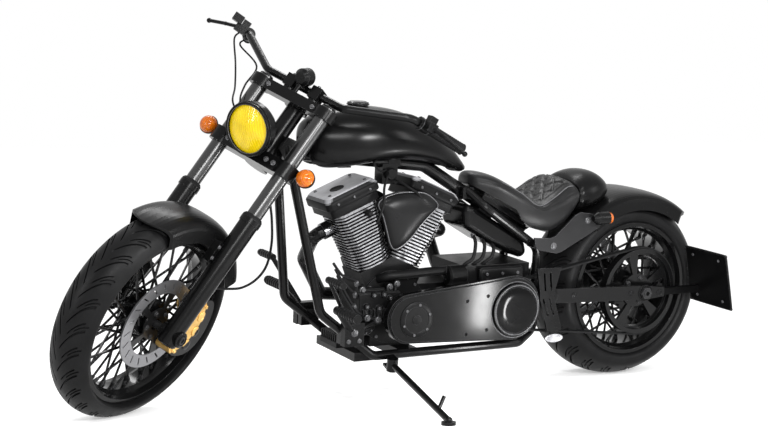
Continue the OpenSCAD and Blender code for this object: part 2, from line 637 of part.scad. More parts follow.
module swing_arm() color("#101010") upright() difference() {
  union() {
    translate([400, -arm_y - arm_t, rear_pivot[2]]) to_y() cylinder(h = 2 * (arm_y + arm_t), r = spine_r);
    mirror_y() plate_y(arm_y, arm_t) polygon([[430, rear_pivot[2] + arm_h], [0, rear_tyre_r + arm_h],
      [-84, rear_tyre_r + 16], [-84, rear_tyre_r - 16], [0, rear_tyre_r - arm_h],
      [430, rear_pivot[2] - arm_h]]);
  }
  translate([0, -300, rear_tyre_r]) to_y() cylinder(h = 600, r = axle_r + clamp_fit);
}
module rear_axle() color("#606060") rear_wheel() difference() {
  union() {
    cylinder(h = 2 * (arm_y + arm_t + 16), r = axle_r, center = true);
    for (s = [-1, 1]) translate([0, 0, s * (arm_y + arm_t + 6)])
      cylinder(h = 12, r = 21, center = true, $fn = 6);
  }
  cylinder(h = 2 * (arm_y + arm_t + 20), r = axle_bore_r, center = true);
}

// Engine
module fin_plate(k, t) {
  linear_extrude(t) intersection() {
    circle(r = 73 + 16 * k);
    square([118 + 36 * k, flat_w], center = true);
  }
}
module one_cylinder(side) cylinder_at(side) {
  translate([0, 0, deck]) cylinder(h = head_top - deck, r = 54);
  for (i = [0 : fins - 1]) translate([0, 0, deck + 2 + i * (head_top - deck - 8) / fins])
    fin_plate(i / (fins - 1), 4.6);
  translate([0, 0, head_top - 8]) fin_plate(1, 8);
  translate([side * 76, -30, head_top - 52]) to_x() cylinder(h = 52, r = 27, center = true);
}
module cylinders() color("#4a4a4a") {
  one_cylinder(1);
  one_cylinder(-1);
}
// Rocker box tiers, rows are [end inset, right side, left side inset, bottom share, top share]
rocker_tiers = [[10, -92, 3, 0, 0.42], [0, -96, 0, 0.42, 0.84], [12, -86, 9, 0.84, 1]];
module rounded(x, y0, y1, r) hull() for (u = [-x + r, x - r], v = [y0 + r, y1 - r])
  translate([u, v]) circle(r = r, $fn = 20);
module rocker_boxes() color("#3c3c3e") for (side = [-1, 1]) cylinder_at(side) difference() {
  for (t = rocker_tiers) translate([0, 0, head_top + t[3] * rocker_h])
    linear_extrude((t[4] - t[3]) * rocker_h) rounded(rocker_l / 2 - t[0], t[1], fin_y - t[2], 18);
  translate([side * 18, 0, head_top + rocker_h - 5]) cylinder(h = 6, r = 15);
}
module pushrod_tubes() color("#3a3a3a") for (side = [-1, 1], x = [-22, 22]) cylinder_at(side)
  translate([x, -84, deck + 14]) cylinder(h = head_top - deck - 14, r = 10);
module engine_case() color("#1a1a1a") {
  upright() {
    translate([crank_x, -72, crank_z]) to_y() cylinder(h = 144, r = 118);
    translate([crank_x - 74, -70, rail_z + 14]) cube([148, 140, 90]);
    translate([crank_x, 72, crank_z]) to_y() cylinder(h = primary_y - 72, r = 54);
    translate([crank_x, -112, crank_z + 24]) to_y() cylinder(h = 42, r = 96);
    translate([440, -98, 248]) cube([250, 214, 190]);
    translate([680, -60, 262]) cube([160, 120, 116]);
    translate([clutch_x, 100, clutch_z]) to_y() cylinder(h = primary_y - 100, r = 30);
    translate([clutch_x, belt_y, clutch_z]) to_y()
      cylinder(h = belt_w + 4, r = pulley_front_r, center = true);
  }
  for (side = [-1, 1]) cylinder_at(side) {
    translate([-62, -64, 60]) cube([124, 128, deck - 60]);
    translate([-40, -106, 60]) cube([80, 106 - fin_y - 0.2, deck - 46]);
    translate([-40, -106, 60]) cube([80, 44, deck - 60]);
  }
}
// Teardrop cover between the cylinders, its outline from the side
horn_pts = [[113, 40], [87, 62], [42, 74], [-8, 76], [-58, 70], [-93, 50], [-110, 26], [-86, 2],
  [-48, -35], [-13, -75], [17, -100], [47, -110], [64, -90], [77, -50], [94, 0]];
module horn_cover() color("#2c2c30") upright() translate([crank_x - 40, fin_y, crank_z + 300]) {
  plate_y(0, 18) polygon(closed_curve(horn_pts, 3));
  plate_y(18, 14) polygon(closed_curve(0.92 * horn_pts, 3));
  plate_y(32, 7) polygon(closed_curve(0.78 * horn_pts, 3));
}
air_at = [crank_x - 10, -fin_y, crank_z + 268];
module air_cleaner() color("#161616") upright() translate(air_at) rotate([90, 0, 0]) {
  cylinder(h = 50, r = 60);
  translate([0, 0, 50]) cylinder(h = 46, r = 88);
  translate([0, 0, 96]) cylinder(h = 12, r1 = 88, r2 = 70);
}
module primary_outline(r) hull() {
  translate([clutch_x + 4, clutch_z + 5]) circle(r = 107 + r);
  translate([crank_x - 2, crank_z - 16]) circle(r = 80 + r);
}
module primary_cover() color("#1c1c20") upright() difference() {
  union() {
    plate_y(primary_y, primary_t - 8) primary_outline(0);
    plate_y(primary_y + primary_t - 8, 8) primary_outline(-7);
  }
  for (p = [[clutch_x + 108, clutch_z + 52], [clutch_x + 108, clutch_z - 60], [crank_x - 210, crank_z + 30],
      [crank_x - 210, crank_z - 80]])
    translate([p[0], primary_y + primary_t - 10, p[1]]) to_y() cylinder(h = 12, r = 6);
}
derby_at = [clutch_x, primary_y + primary_t, clutch_z];
module derby_cover() color("#141416") upright() translate(derby_at) to_y() difference() {
  cylinder(h = 10, r = 87);
  translate([0, 0, 6]) cylinder(h = 6, r = 78);
}
module drive_belt() color("#161616") upright() plate_y(belt_y - belt_w / 2, belt_w) difference() {
  hull() {
    translate([0, rear_tyre_r]) circle(r = pulley_rear_r + 6.3, $fn = 96);
    translate([clutch_x, clutch_z]) circle(r = pulley_front_r + 6.3, $fn = 96);
  }
  hull() {
    translate([0, rear_tyre_r]) circle(r = pulley_rear_r + 0.6, $fn = 96);
    translate([clutch_x, clutch_z]) circle(r = pulley_front_r + 0.6, $fn = 96);
  }
}
// Chevron cover behind the primary cover, slots are [x, z, angle]
chevron = [[366, 432], [462, 432], [446, 350], [446, 332], [408, 216], [352, 220], [392, 340]];
chevron_slots = [[406, 416, -98], [430, 416, -98], [406, 330, -112], [430, 330, -112]];
module pulley_cover() color("#1c1c1e") upright() plate_y(arm_y + arm_t, 9) difference() {
  polygon(chevron);
  for (p = chevron_slots) translate([p[0], p[1]]) rotate(p[2]) square([62, 8]);
}
function pan_oil(d) = let (p = pan_back + rot_y([d + 40, 0, -pan_up - 8], -pan_tilt)) [p[0], p[2]];
oil_y = 80;
oil_round = 22;
oil_under = [0, 1.17 * oil_round];
oil_corners = [[658, 606], [654, 572], [564, 520], [447, 470], [452, 488], pan_oil(20) - oil_under,
  pan_oil(236) - oil_under];
module oil_tank() color("#101012") upright() hull() for (p = oil_corners, s = [-1, 1])
  translate([p[0], s * (oil_y - oil_round), p[1]]) sphere(r = oil_round, $fn = 20);
pipe_y = -arm_y - arm_t - 26;
front_pipe = [cylinder_pt(1, [102.1, -30, head_top - 52]), cylinder_pt(1, [134, -30, head_top - 52]),
  [1150, -150, 440], [1060, pipe_y + 20, 310], [430, pipe_y, 250]];
back_pipe = [cylinder_pt(-1, [-102.1, -30, head_top - 52]), cylinder_pt(-1, [-130, -30, head_top - 52]),
  [672, -170, 500], [600, pipe_y, 380], [430, pipe_y, 330]];
module exhaust_pipes() color("#161616") upright() difference() {
  union() {
    bent_tube(front_pipe, 22, 30, 14, [0.2, 0.3, 1]);
    bent_tube(back_pipe, 22, 30, 14, [0.2, 0.3, 1]);
  }
  for (z = [250, 330]) rod([492, pipe_y, z], [420, pipe_y, z], 18);
}

// Bodywork
tank_rows = [
  [1246, 34, 806, 858, 886, 2.2, 2.4],
  [1230, 66, 776, 854, 910, 2.2, 2.6],
  [1180, 98, 762, 846, 938, 2.2, 3.0],
  [1100, tank_w - 6, 768, 848, tank_top, 2.2, 3.2],
  [1000, tank_w, 782, 852, tank_top - 2, 2.2, 3.2],
  [900, tank_w - 12, 784, 842, tank_top - 20, 2.1, 3.0],
  [800, tank_w - 36, 770, 814, tank_top - 66, 2.1, 2.8],
  [720, tank_w - 70, 745, 780, tank_top - 124, 2.1, 2.6],
  [672, 34, 736, 758, tank_top - 172, 2.0, 2.4],
  [650, 16, 740, 750, tank_top - 196, 2.0, 2.2]];
tunnel_y = 40;
tunnel_cuts = [[700, 862, tunnel_z - 44], [860, 1300, tunnel_z], [1180, 1300, tunnel_z + 18]];
module fuel_tank() color("#080808") upright() difference() {
  skin(tank_rows, 4, 40, function(x, y) 0);
  for (c = tunnel_cuts) translate([c[0], -tunnel_y, 600]) cube([c[1] - c[0], 2 * tunnel_y, c[2] - 600]);
}
cap_row = row_at(tank_rows, 3.5);
module tank_cap() color("#3a3a3a") upright() translate([cap_row[0], 0, cap_row[4] + 0.2]) {
  cylinder(h = 8, r = 33);
  translate([0, 0, 8]) cylinder(h = 5, r1 = 33, r2 = 26);
}
seat_rows = [
  [642, 30, 690, 708, 724, 2.4, 2.2],
  [622, 62, 640, 690, 736, 2.6, 2.4],
  [560, 98, 572, 672, 726, 2.8, 3],
  [480, 124, 534, 630, 684, 3, 3],
  [410, seat_w - 4, 522, 604, 634, 3, 3],
  [350, seat_w, 524, 612, 668, 2.6, 3],
  [295, seat_w - 4, 560, 630, 710, 2.3, 2.8],
  [255, seat_w - 16, 612, 655, 700, 2.2, 2.4],
  [244, seat_w - 40, 636, 660, 688, 2.2, 2.2]];
guard_in = rear_tyre_r + guard_gap;
guard_drop = 30;
guard_end = -138;
function guard_top(x, y) = let (k = min(1, abs(y) / guard_y))
  rear_tyre_r + sqrt(max(0, pow(guard_in - guard_drop + 0.4 + 3 * pow(k, 4)
    + (guard_drop + guard_t) * pow(1 - pow(k, 2 / 0.7), 0.35), 2) - x * x));
function seat_bed(x, y) = max(abs(y) < 118 ? pan_z(max(x, 330)) : 0, guard_top(x, y));
module seat() color("#141414") upright() skin(seat_rows, 4, 40, function(x, y) seat_bed(x, y));
cowl_rows = [
  [242, 112, 600, 655, 704, 2.3, 2.6],
  [226, 118, 592, 655, 720, 2.3, 2.6],
  [190, 120, 600, 655, 732, 2.3, 2.6],
  [150, 112, 610, 664, 731, 2.3, 2.4],
  [116, 92, 640, 668, 714, 2.2, 2.2],
  [97, 58, 655, 672, 690, 2.1, 2.0]];
module seat_cowl() color("#1c1c1c") upright() skin(cowl_rows, 4, 36, function(x, y) guard_top(x, y));
module rear_guard() color("#0e0e0e") rear_wheel() difference() {
  guard(guard_y, guard_in, guard_drop, rear_tyre_r - 40, guard_end, 88);
  round_end(guard_end + 0.7, 1, guard_y + 4, guard_in);
}
strut_z = rear_tyre_r + 240;
strut_pts = [[446, 526], [440, 498], [424, 484], [356, 470], [332, 476], [190, strut_z - 13],
  [176, strut_z - 1], [176, strut_z + 25], [186, strut_z + 33], [262, strut_z + 45], [284, strut_z + 36],
  [362, 528], [384, 522]];
module guard_struts() color("#3a3a3c") upright() mirror_y() plate_y(guard_y, 7) difference() {
  polygon(strut_pts);
  for (p = [[368, 496], [232, strut_z + 17]]) translate(p) circle(r = 6);
}
signal_back = [196, guard_y + 7, strut_z + 27];
module rear_signals() color("#0c0c0c") upright() mirror_y() {
  translate(signal_back) to_y() cylinder(h = 14, r = 8);
  translate(signal_back + [0, 32, 0]) to_x() {
    translate([0, 0, -22]) cylinder(h = 44, r = 22);
    translate([0, 0, 22]) cylinder(h = 16, r1 = 22, r2 = 10);
  }
}
module rear_signal_lenses() color("#e07a10") upright() mirror_y() translate(signal_back + [-34, 32, 0]) to_x()
  cylinder(h = 12, r1 = 17, r2 = 22);
plate_tilt = 13;
module number_plate() color("#0c0c0c") upright() {
  translate([-254, 139, 277]) rotate([0, plate_tilt, 0]) rotate([90, 0, 90]) linear_extrude(4)
    translate([plate_w / 2, 0]) rounded(plate_w / 2, 0, plate_h, 14);
  translate([-241, arm_y + 1, rear_tyre_r - 12]) cube([157, arm_t - 2, 24]);
}
module rear_calliper() color("#303030") upright() {
  difference() {
    translate([36, -arm_y, rear_tyre_r + 77]) cube([76, arm_y - rear_hub + 22, 60]);
    translate([0, -rear_hub - disc_t / 2, rear_tyre_r]) to_y()
      cylinder(h = disc_t + disc_gap, r = disc_r + 5, center = true);
  }
  translate([46, -arm_y, rear_tyre_r + 9]) cube([56, 8, 70]);
}

// Foot controls and small parts
module forward_controls() color("#141414") upright() mirror_y() {
  translate([1096, 154, 220]) cube([68, 30, 72]);
  rod([1130, 170, 262], [1196, 200, 340], 13);
  rod([1196, 186, 340], [1196, 322, 340], 14);
  rod([1140, 176, 280], [1236, 206, 440], 8);
  rod([1236, 198, 440], [1236, 300, 440], 11);
}
module regulator() color("#181818") upright() {
  translate([1034, -56, rail_z + 14]) cube([92, 112, 18]);
  for (i = [0 : 8]) translate([1036, -56 + i * 13.5, rail_z + 30]) cube([88, 5, 26]);
}

// Side stand
stand_peg = stand_p + stand_leg * stand_reach * 0.86;
// Kick peg, short enough to pass under the primary cover when the stand is up
peg_way = [-26, -9, 38];
module side_stand() color("#0c0c0c") {
  difference() {
    union() {
      along(stand_p, stand_axis) cylinder(h = eye_h, r = eye_r, center = true);
      rod(stand_p, foot_p + [0, 0, foot_h + 3], stand_r);
      translate(foot_p) cylinder(h = foot_h, r = foot_r);
      translate(foot_p + [0, 0, foot_h + 3]) sphere(r = stand_r + 2);
      rod(stand_peg, stand_peg + peg_way, 6);
    }
    along(stand_p, stand_axis) cylinder(h = eye_h + 2, r = pin_r + run_fit, center = true);
  }
}

front_tyre();
front_rim();
front_disc();
rear_tyre();
rear_rim();
rear_pulley();
rear_disc();
fork_sliders();
fork_tubes();
lower_yoke();
upper_yoke();
front_axle();
front_guard();
front_calliper();
headlamp_shell();
headlamp_lens();
front_signals();
front_signal_lenses();
handlebar();
bar_clamps();
grips();
bar_controls();
gauge();
brake_hoses();
frame_spine();
frame_left();
frame_right();
swing_arm();
rear_axle();
engine_case();
cylinders();
rocker_boxes();
pushrod_tubes();
horn_cover();
air_cleaner();
primary_cover();
derby_cover();
drive_belt();
pulley_cover();
oil_tank();
exhaust_pipes();
fuel_tank();
tank_cap();
seat();
seat_cowl();
rear_guard();
guard_struts();
rear_signals();
rear_signal_lenses();
number_plate();
rear_calliper();
forward_controls();
regulator();
side_stand();
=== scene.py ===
import json
from math import acos, atan2, copysign, cos, degrees, exp, pi, radians, sin, sqrt, tan

import bpy
from mathutils import Matrix, Vector


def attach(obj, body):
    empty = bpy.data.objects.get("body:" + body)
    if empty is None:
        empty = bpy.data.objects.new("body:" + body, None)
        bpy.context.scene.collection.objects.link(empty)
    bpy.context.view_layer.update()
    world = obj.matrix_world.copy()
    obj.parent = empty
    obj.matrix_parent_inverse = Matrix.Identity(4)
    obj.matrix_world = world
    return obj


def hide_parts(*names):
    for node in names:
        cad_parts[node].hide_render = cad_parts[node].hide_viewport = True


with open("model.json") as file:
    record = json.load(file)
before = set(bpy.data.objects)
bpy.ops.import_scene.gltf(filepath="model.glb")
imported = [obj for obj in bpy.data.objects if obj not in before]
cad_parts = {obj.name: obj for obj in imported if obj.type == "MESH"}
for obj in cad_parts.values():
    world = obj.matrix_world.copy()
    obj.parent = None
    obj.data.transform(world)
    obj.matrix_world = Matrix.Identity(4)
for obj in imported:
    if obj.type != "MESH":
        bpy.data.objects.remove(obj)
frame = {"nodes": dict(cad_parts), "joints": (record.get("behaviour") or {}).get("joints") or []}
move = Matrix.Translation
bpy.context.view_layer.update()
NODES = frame["nodes"]
JOINTS = {j["name"]: j for j in frame["joints"]}

# Driving sizes of the machine, in metres and degrees
LEAN, PITCH, RAKE, STEER = 6, 0.473621, 36.5, 34
WHEEL_BASE, FORK_OFFSET = 1.78, 0.051
FRONT_R, REAR_R = 0.338, 0.321
VEE = 22.5


def turn(axis, degrees):
    return Matrix.Rotation(radians(degrees), 4, axis)


# The upright machine's frame and the fork's frame, both in the row frame
TIP = turn("Y", PITCH) @ turn("X", -LEAN)
REAR_AXLE = Vector(JOINTS["rear_wheel_spin"]["pos_m"])
UPRIGHT = move(REAR_AXLE - TIP.to_3x3() @ Vector((0, 0, REAR_R))) @ TIP
FORK_FOOT = Vector((WHEEL_BASE, 0, FRONT_R)) - turn("Y", -RAKE).to_3x3() @ Vector((FORK_OFFSET, 0, 0))
FORK = UPRIGHT @ move(FORK_FOOT) @ turn("Y", -RAKE) @ turn("Z", STEER)
FRONT_WHEEL = FORK @ move((FORK_OFFSET, 0, 0))
REAR_WHEEL = UPRIGHT @ move((0, 0, REAR_R))

# The same frames with millimetres as their unit
TO_MM = Matrix.Scale(0.001, 4)
UP_MM, FORK_MM = UPRIGHT @ TO_MM, FORK @ TO_MM
FRONT_MM, REAR_MM = FRONT_WHEEL @ TO_MM, REAR_WHEEL @ TO_MM
CRANK = Vector((938, 0, 310))
CYLINDER_MM = {side: UP_MM @ move(CRANK) @ turn("Y", side * VEE) for side in (1, -1)}


# Materials
EDGE_TURN = (0.015, 0.12)


def fill(tree, node, inputs):
    for key, value in inputs.items():
        if isinstance(value, bpy.types.NodeSocket):
            tree.links.new(value, node.inputs[key])
        else:
            node.inputs[key].default_value = value


def new_node(tree, kind, inputs=None, **props):
    """A shader node with its properties set and its inputs filled or linked."""
    node = tree.nodes.new("ShaderNode" + kind)
    for key, value in props.items():
        setattr(node, key, value)
    fill(tree, node, inputs or {})
    return node


class Graph:
    """A new material and short calls to add nodes to it."""

    def __init__(self, name):
        self.mat = bpy.data.materials.new(name)
        self.mat.use_nodes = True
        self.tree = self.mat.node_tree
        self.coords = self.add("TexCoord", "Object")

    def add(self, kind, out, inputs=None, **props):
        """One output of a new node."""
        return new_node(self.tree, kind, inputs, **props).outputs[out]

    def noise(self, scale, detail=4, rough=0.55):
        inputs = {"Vector": self.coords, "Scale": scale, "Detail": detail, "Roughness": rough}
        return self.add("TexNoise", "Fac", inputs)

    def spread(self, value, low=0, high=1, start=0.3, end=0.7):
        inputs = {"Value": value, "From Min": start, "From Max": end, "To Min": low, "To Max": high}
        return self.add("MapRange", "Result", inputs)

    def mix(self, fac, a, b):
        a, b = (v if isinstance(v, bpy.types.NodeSocket) else (*v, 1) for v in (a, b))
        return self.add("Mix", 2, {"Factor": fac, 6: a, 7: b}, data_type="RGBA")

    def math(self, op, a, b=0):
        return self.add("Math", 0, {0: a, 1: b}, operation=op)

    def times(self, a, b):
        return self.math("MULTIPLY", a, b)

    def dot(self, a, b):
        return self.add("VectorMath", "Value", {0: a, 1: b}, operation="DOT_PRODUCT")

    def bevel(self, radius):
        return self.add("Bevel", "Normal", {"Radius": radius}, samples=4)

    def offset(self, centre):
        """The way from a centre to the shaded point."""
        return self.add("VectorMath", "Vector", {0: self.coords, 1: centre}, operation="SUBTRACT")

    def edge(self, radius):
        """1 where the surface turns sharply within a radius, 0 where it is flat."""
        normal = self.add("NewGeometry", "Normal")
        turned = self.math("SUBTRACT", 1, self.dot(self.bevel(radius), normal))
        return self.spread(turned, start=EDGE_TURN[0], end=EDGE_TURN[1])

    def greys(self, value, dark, light):
        return self.mix(self.spread(value), grey(dark), grey(light))

    def done(self, tint, rough, gloss, height, strength, depth, edges=0, **more):
        """Fills the surface's inputs, adds a bump with rounded edges, and gives the material."""
        bump = {"Height": height, "Strength": strength, "Distance": depth}
        if edges:
            bump["Normal"] = self.bevel(edges)
        inputs = {"Base Color": tint, "Roughness": rough, "Specular IOR Level": gloss,
                  "Normal": self.add("Bump", "Normal", bump)}
        inputs.update({key.replace("_", " "): value for key, value in more.items()})
        fill(self.tree, self.tree.nodes["Principled BSDF"], inputs)
        return self.mat


def grey(value):
    """A grey with a slight blue cast."""
    return (value, value, value * 1.04)


# Scale of the clouds in a coating, depth of its peel, radius of its edges, half width of a colour border
CLOUD, PEEL, ROUND_EDGE, BORDER = 7, 0.0004, 0.0012, 0.001


def coated(name, dark, light, rough, metal, gloss, grain, bump, edge):
    """Paint or plated metal: cloudy tint, dusty roughness, fine peel and edges painted lighter, for wear and as
    a painted highlight.
    """
    g = Graph(name)
    tint = g.greys(g.noise(CLOUD), dark, light)
    # Edges painted lighter: partly wear, partly a painted highlight.
    if edge:
        tint = g.mix(g.times(g.edge(ROUND_EDGE * 1.4), edge[1]), tint, grey(edge[0]))
    smear = g.spread(g.noise(CLOUD * 3.1, 6, 0.65), *rough)
    return g.done(tint, smear, gloss, g.noise(grain, 3), bump, PEEL, ROUND_EDGE, Metallic=metal)


COATINGS = [
    # name, dark, light, roughness, metal, gloss, grain, bump, tint and share of the edges painted lighter for
    # wear and as a painted highlight
    ("body_paint", 0.0014, 0.0022, (0.22, 0.27), 0, 0.11, 380, 0.02, None),
    ("guard_paint", 0.002, 0.0028, (0.26, 0.32), 0, 0.1, 420, 0.015, (0.03, 0.3)),
    ("frame_paint", 0.0018, 0.0028, (0.19, 0.25), 0, 0.15, 500, 0.05, (0.05, 0.3)),
    ("slider_paint", 0.002, 0.003, (0.2, 0.26), 0, 0.13, 520, 0.05, (0.05, 0.3)),
    ("wheel_paint", 0.0022, 0.0036, (0.12, 0.2), 0, 0.18, 600, 0.05, (0.05, 0.25)),
    ("small_black", 0.0022, 0.0036, (0.22, 0.34), 0, 0.1, 700, 0.08, (0.07, 0.4)),
    ("cast_black", 0.0018, 0.004, (0.32, 0.46), 0, 0.08, 950, 0.22, (0.1, 0.4)),
    ("cover_paint", 0.0018, 0.0028, (0.13, 0.17), 0, 0.1, 300, 0.02, (0.14, 0.5)),
    ("derby_paint", 0.0018, 0.0028, (0.08, 0.14), 0, 0.08, 300, 0.02, (0.14, 0.5)),
    ("horn_grey", 0.005, 0.0075, (0.26, 0.34), 0, 0.11, 800, 0.04, None),
    ("trim_grey", 0.05, 0.075, (0.24, 0.34), 0.4, 0.3, 800, 0.06, (0.25, 0.4)),
    ("strut_grey", 0.01, 0.016, (0.3, 0.4), 0.1, 0.14, 900, 0.08, (0.18, 0.5)),
    ("dark_chrome", 0.003, 0.005, (0.22, 0.28), 0, 0.65, 260, 0.015, None),
    ("dark_steel", 0.01, 0.018, (0.22, 0.34), 0.2, 0.2, 900, 0.06, (0.1, 0.5)),
    ("bolt_steel", 0.045, 0.075, (0.22, 0.34), 0.5, 0.3, 1200, 0.06, (0.25, 0.4)),
    ("silver", 0.28, 0.38, (0.32, 0.42), 0.9, 0.4, 1200, 0.04, (0.5, 0.4)),
    ("plate_black", 0.0014, 0.0024, (0.3, 0.42), 0, 0.05, 500, 0.05, None),
]
MATS = {row[0]: coated(*row) for row in COATINGS}

# The calliper is gold near the fork leg and black towards its outer edge, in metres of the fork frame
GOLD_CENTRE, GOLD_REACH = Vector((0.062, 0, 0.05)), 0.12
GOLD_DARK, GOLD_LIGHT, GOLD_EDGE = (0.46, 0.27, 0.07), (0.7, 0.46, 0.16), (0.85, 0.66, 0.32)


def calliper_gold():
    g = Graph("gold")
    offset = g.offset(FORK @ GOLD_CENTRE)
    axes = FORK.to_3x3()
    x, z = (g.dot(offset, axes @ Vector(axis)) for axis in ((1, 0, 0), (0, 0, 1)))
    reach = g.math("SQRT", g.math("ADD", g.times(x, x), g.times(z, z)))
    black = g.spread(reach, start=GOLD_REACH - BORDER, end=GOLD_REACH + BORDER)
    cloud = g.noise(30)
    gold = g.mix(g.spread(cloud), GOLD_DARK, GOLD_LIGHT)
    # Edges painted a lighter gold: partly wear, partly a painted highlight.
    gold = g.mix(g.times(g.edge(0.0016), 0.4), gold, GOLD_EDGE)
    metal = g.times(g.math("SUBTRACT", 1, black), 0.7)
    return g.done(g.mix(black, gold, grey(0.003)), g.spread(cloud, 0.28, 0.42), 0.2,
                  g.noise(1000, 3), 0.1, 0.0004, 0.0014, Metallic=metal)


MATS["gold"] = calliper_gold()


def rubber(name, dark, light, scale, rough=(0.55, 0.75), bump=0.25):
    """Matt rubber or cord with a fine grain."""
    g = Graph(name)
    tint = g.greys(g.noise(scale), dark, light)
    smear = g.spread(g.noise(scale * 2.3), *rough)
    return g.done(tint, smear, 0.09, g.noise(scale * 70, 5, 0.7), bump, 0.0005)


MATS["tyre"] = rubber("tyre_rubber", 0.0034, 0.006, 14, (0.36, 0.48))
MATS["rubber"] = rubber("soft_rubber", 0.0045, 0.008, 25)
# Inner radius of the bright ring on the brake discs, in metres
DISC_BAND = 0.1035


def brushed_disc(name, centre, axis):
    """A steel ring ground round the wheel's axis on a black spider."""
    g = Graph(name)
    offset = g.offset(centre)
    along = g.dot(offset, axis)
    length = g.add("VectorMath", "Value", {0: offset}, operation="LENGTH")
    square = g.math("SUBTRACT", g.times(length, length), g.times(along, along))
    radius = g.math("SQRT", square)
    inputs = {"W": g.times(radius, 1500), "Scale": 1, "Detail": 3}
    rings = g.add("TexNoise", "Fac", inputs, noise_dimensions="1D")
    band = g.spread(radius, start=DISC_BAND - BORDER, end=DISC_BAND + BORDER)
    steel = g.greys(rings, 0.16, 0.26)
    return g.done(g.mix(band, grey(0.004), steel), g.spread(rings, 0.28, 0.4), 0.25,
                  rings, 0.08, 0.0003, 0.0006, Metallic=g.times(band, 0.85))


WHEEL_AXIS = Vector((0, 1, 0))
MATS["front_disc"] = brushed_disc("front_disc_steel", FRONT_WHEEL.translation, FORK.to_3x3() @ WHEEL_AXIS)
MATS["rear_disc"] = brushed_disc("rear_disc_steel", REAR_WHEEL.translation, UPRIGHT.to_3x3() @ WHEEL_AXIS)


def along_cylinders(g):
    """How far the surface faces up or down the cylinder that it is on, from -1 to 1."""
    normal = g.add("NewGeometry", "True Normal")
    place = g.add("SeparateXYZ", "X", {"Vector": g.coords})
    front = g.math("GREATER_THAN", place, (UP_MM @ CRANK).x)
    up = [g.dot(normal, CYLINDER_MM[side].to_3x3().normalized() @ Vector((0, 0, 1))) for side in (1, -1)]
    back = g.math("SUBTRACT", 1, front)
    return g.math("ADD", g.times(front, up[0]), g.times(back, up[1]))


def finned():
    """Black cylinders whose fin edges are machined bright."""
    g = Graph("fin_black")
    rim = g.math("LESS_THAN", g.math("ABSOLUTE", along_cylinders(g)), 0.4)
    mottle = g.noise(60, 5)
    bright = g.greys(mottle, 0.15, 0.26)
    black = g.greys(mottle, 0.003, 0.005)
    return g.done(g.mix(rim, black, bright), g.spread(mottle, 0.2, 0.32), 0.12,
                  g.noise(900, 4), 0.1, 0.0003, Metallic=g.times(rim, 0.9))


def rocker():
    """Rocker boxes with black sides and tops painted paler, a painted reflection of the white surroundings."""
    g = Graph("rocker_grey")
    # Painted reflection: faces that look up the cylinder are painted pale grey, the sides stay black.
    painted_top = g.spread(along_cylinders(g), start=0.6, end=0.85)
    mottle = g.noise(40, 5)
    painted_reflection = g.greys(mottle, 0.32, 0.42)
    dark = g.greys(mottle, 0.003, 0.006)
    return g.done(g.mix(painted_top, dark, painted_reflection), g.spread(mottle, 0.34, 0.44), 0.05,
                  g.noise(1100, 3), 0.1, 0.0003, 0.0015, Metallic=g.times(painted_top, 0.1))


MATS["fins"] = finned()
MATS["rocker_grey"] = rocker()


def leather():
    """Grained leather, a little worn."""
    g = Graph("seat_leather")
    inputs = {"Vector": g.coords, "Scale": 420}
    cells = g.add("TexVoronoi", "Distance", inputs, feature="DISTANCE_TO_EDGE")
    worn = g.noise(9, 5)
    tint = g.greys(worn, 0.0042, 0.007)
    creases = g.spread(cells, start=0, end=0.25)
    grain = g.math("ADD", creases, g.noise(1500, 2))
    return g.done(tint, g.spread(worn, 0.3, 0.42), 0.18, grain, 0.14, 0.0004)


MATS["leather"] = leather()
MATS["piping"] = rubber("seat_piping", 0.05, 0.085, 40, (0.34, 0.46), 0.1)


def lens(name, dark, light, scale, flutes):
    """Coloured lamp glass with moulded flutes and a clear outer skin."""
    g = Graph(name)
    inputs = {"Vector": g.coords, "Scale": flutes, "Distortion": 1.5, "Detail": 2}
    wave = g.add("TexWave", "Fac", inputs, bands_direction="Y")
    blotch = g.noise(scale, 3)
    shade = g.math("ADD", g.times(wave, 0.22), g.times(blotch, 0.78))
    return g.done(g.mix(g.spread(shade), dark, light), g.spread(blotch, 0.1, 0.2), 0.2, wave, 0.25, 0.001,
                  Coat_Weight=0.25, Coat_Roughness=0.05, Subsurface_Weight=0.25,
                  Subsurface_Radius=(0.01, 0.006, 0.001))


MATS["headlamp_glass"] = lens("headlamp_glass", (0.5, 0.35, 0.002), (0.68, 0.5, 0.008), 22, 44)
MATS["amber"] = lens("amber_lens", (0.3, 0.055, 0.002), (0.52, 0.13, 0.004), 60, 60)

FINISH = {
    "body_paint": "fuel_tank oil_tank",
    "guard_paint": "front_guard rear_guard seat_cowl",
    "frame_paint": "frame_spine frame_left frame_right swing_arm side_stand",
    "slider_paint": "fork_sliders lower_yoke upper_yoke handlebar bar_clamps headlamp_shell",
    "wheel_paint": "front_rim rear_rim rear_pulley",
    "small_black": "bar_controls gauge front_signals rear_signals forward_controls "
                   "pulley_cover air_cleaner exhaust_pipes",
    "cast_black": "engine_case regulator rear_calliper",
    "cover_paint": "primary_cover",
    "derby_paint": "derby_cover",
    "rocker_grey": "rocker_boxes",
    "horn_grey": "horn_cover",
    "strut_grey": "guard_struts",
    "dark_chrome": "fork_tubes pushrod_tubes tank_cap",
    "dark_steel": "front_axle rear_axle",
    "gold": "front_calliper",
    "plate_black": "number_plate",
    "tyre": "front_tyre rear_tyre",
    "rubber": "grips brake_hoses drive_belt",
    "front_disc": "front_disc",
    "rear_disc": "rear_disc",
    "fins": "cylinders",
    "leather": "seat",
    "headlamp_glass": "headlamp_lens",
    "amber": "front_signal_lenses rear_signal_lenses",
}
for finish, names in FINISH.items():
    for name in names.split():
        NODES[name].data.materials.clear()
        NODES[name].data.materials.append(MATS[finish])


# Mesh pieces
def add_object(name, data):
    obj = bpy.data.objects.new(name, data)
    bpy.context.scene.collection.objects.link(obj)
    return obj


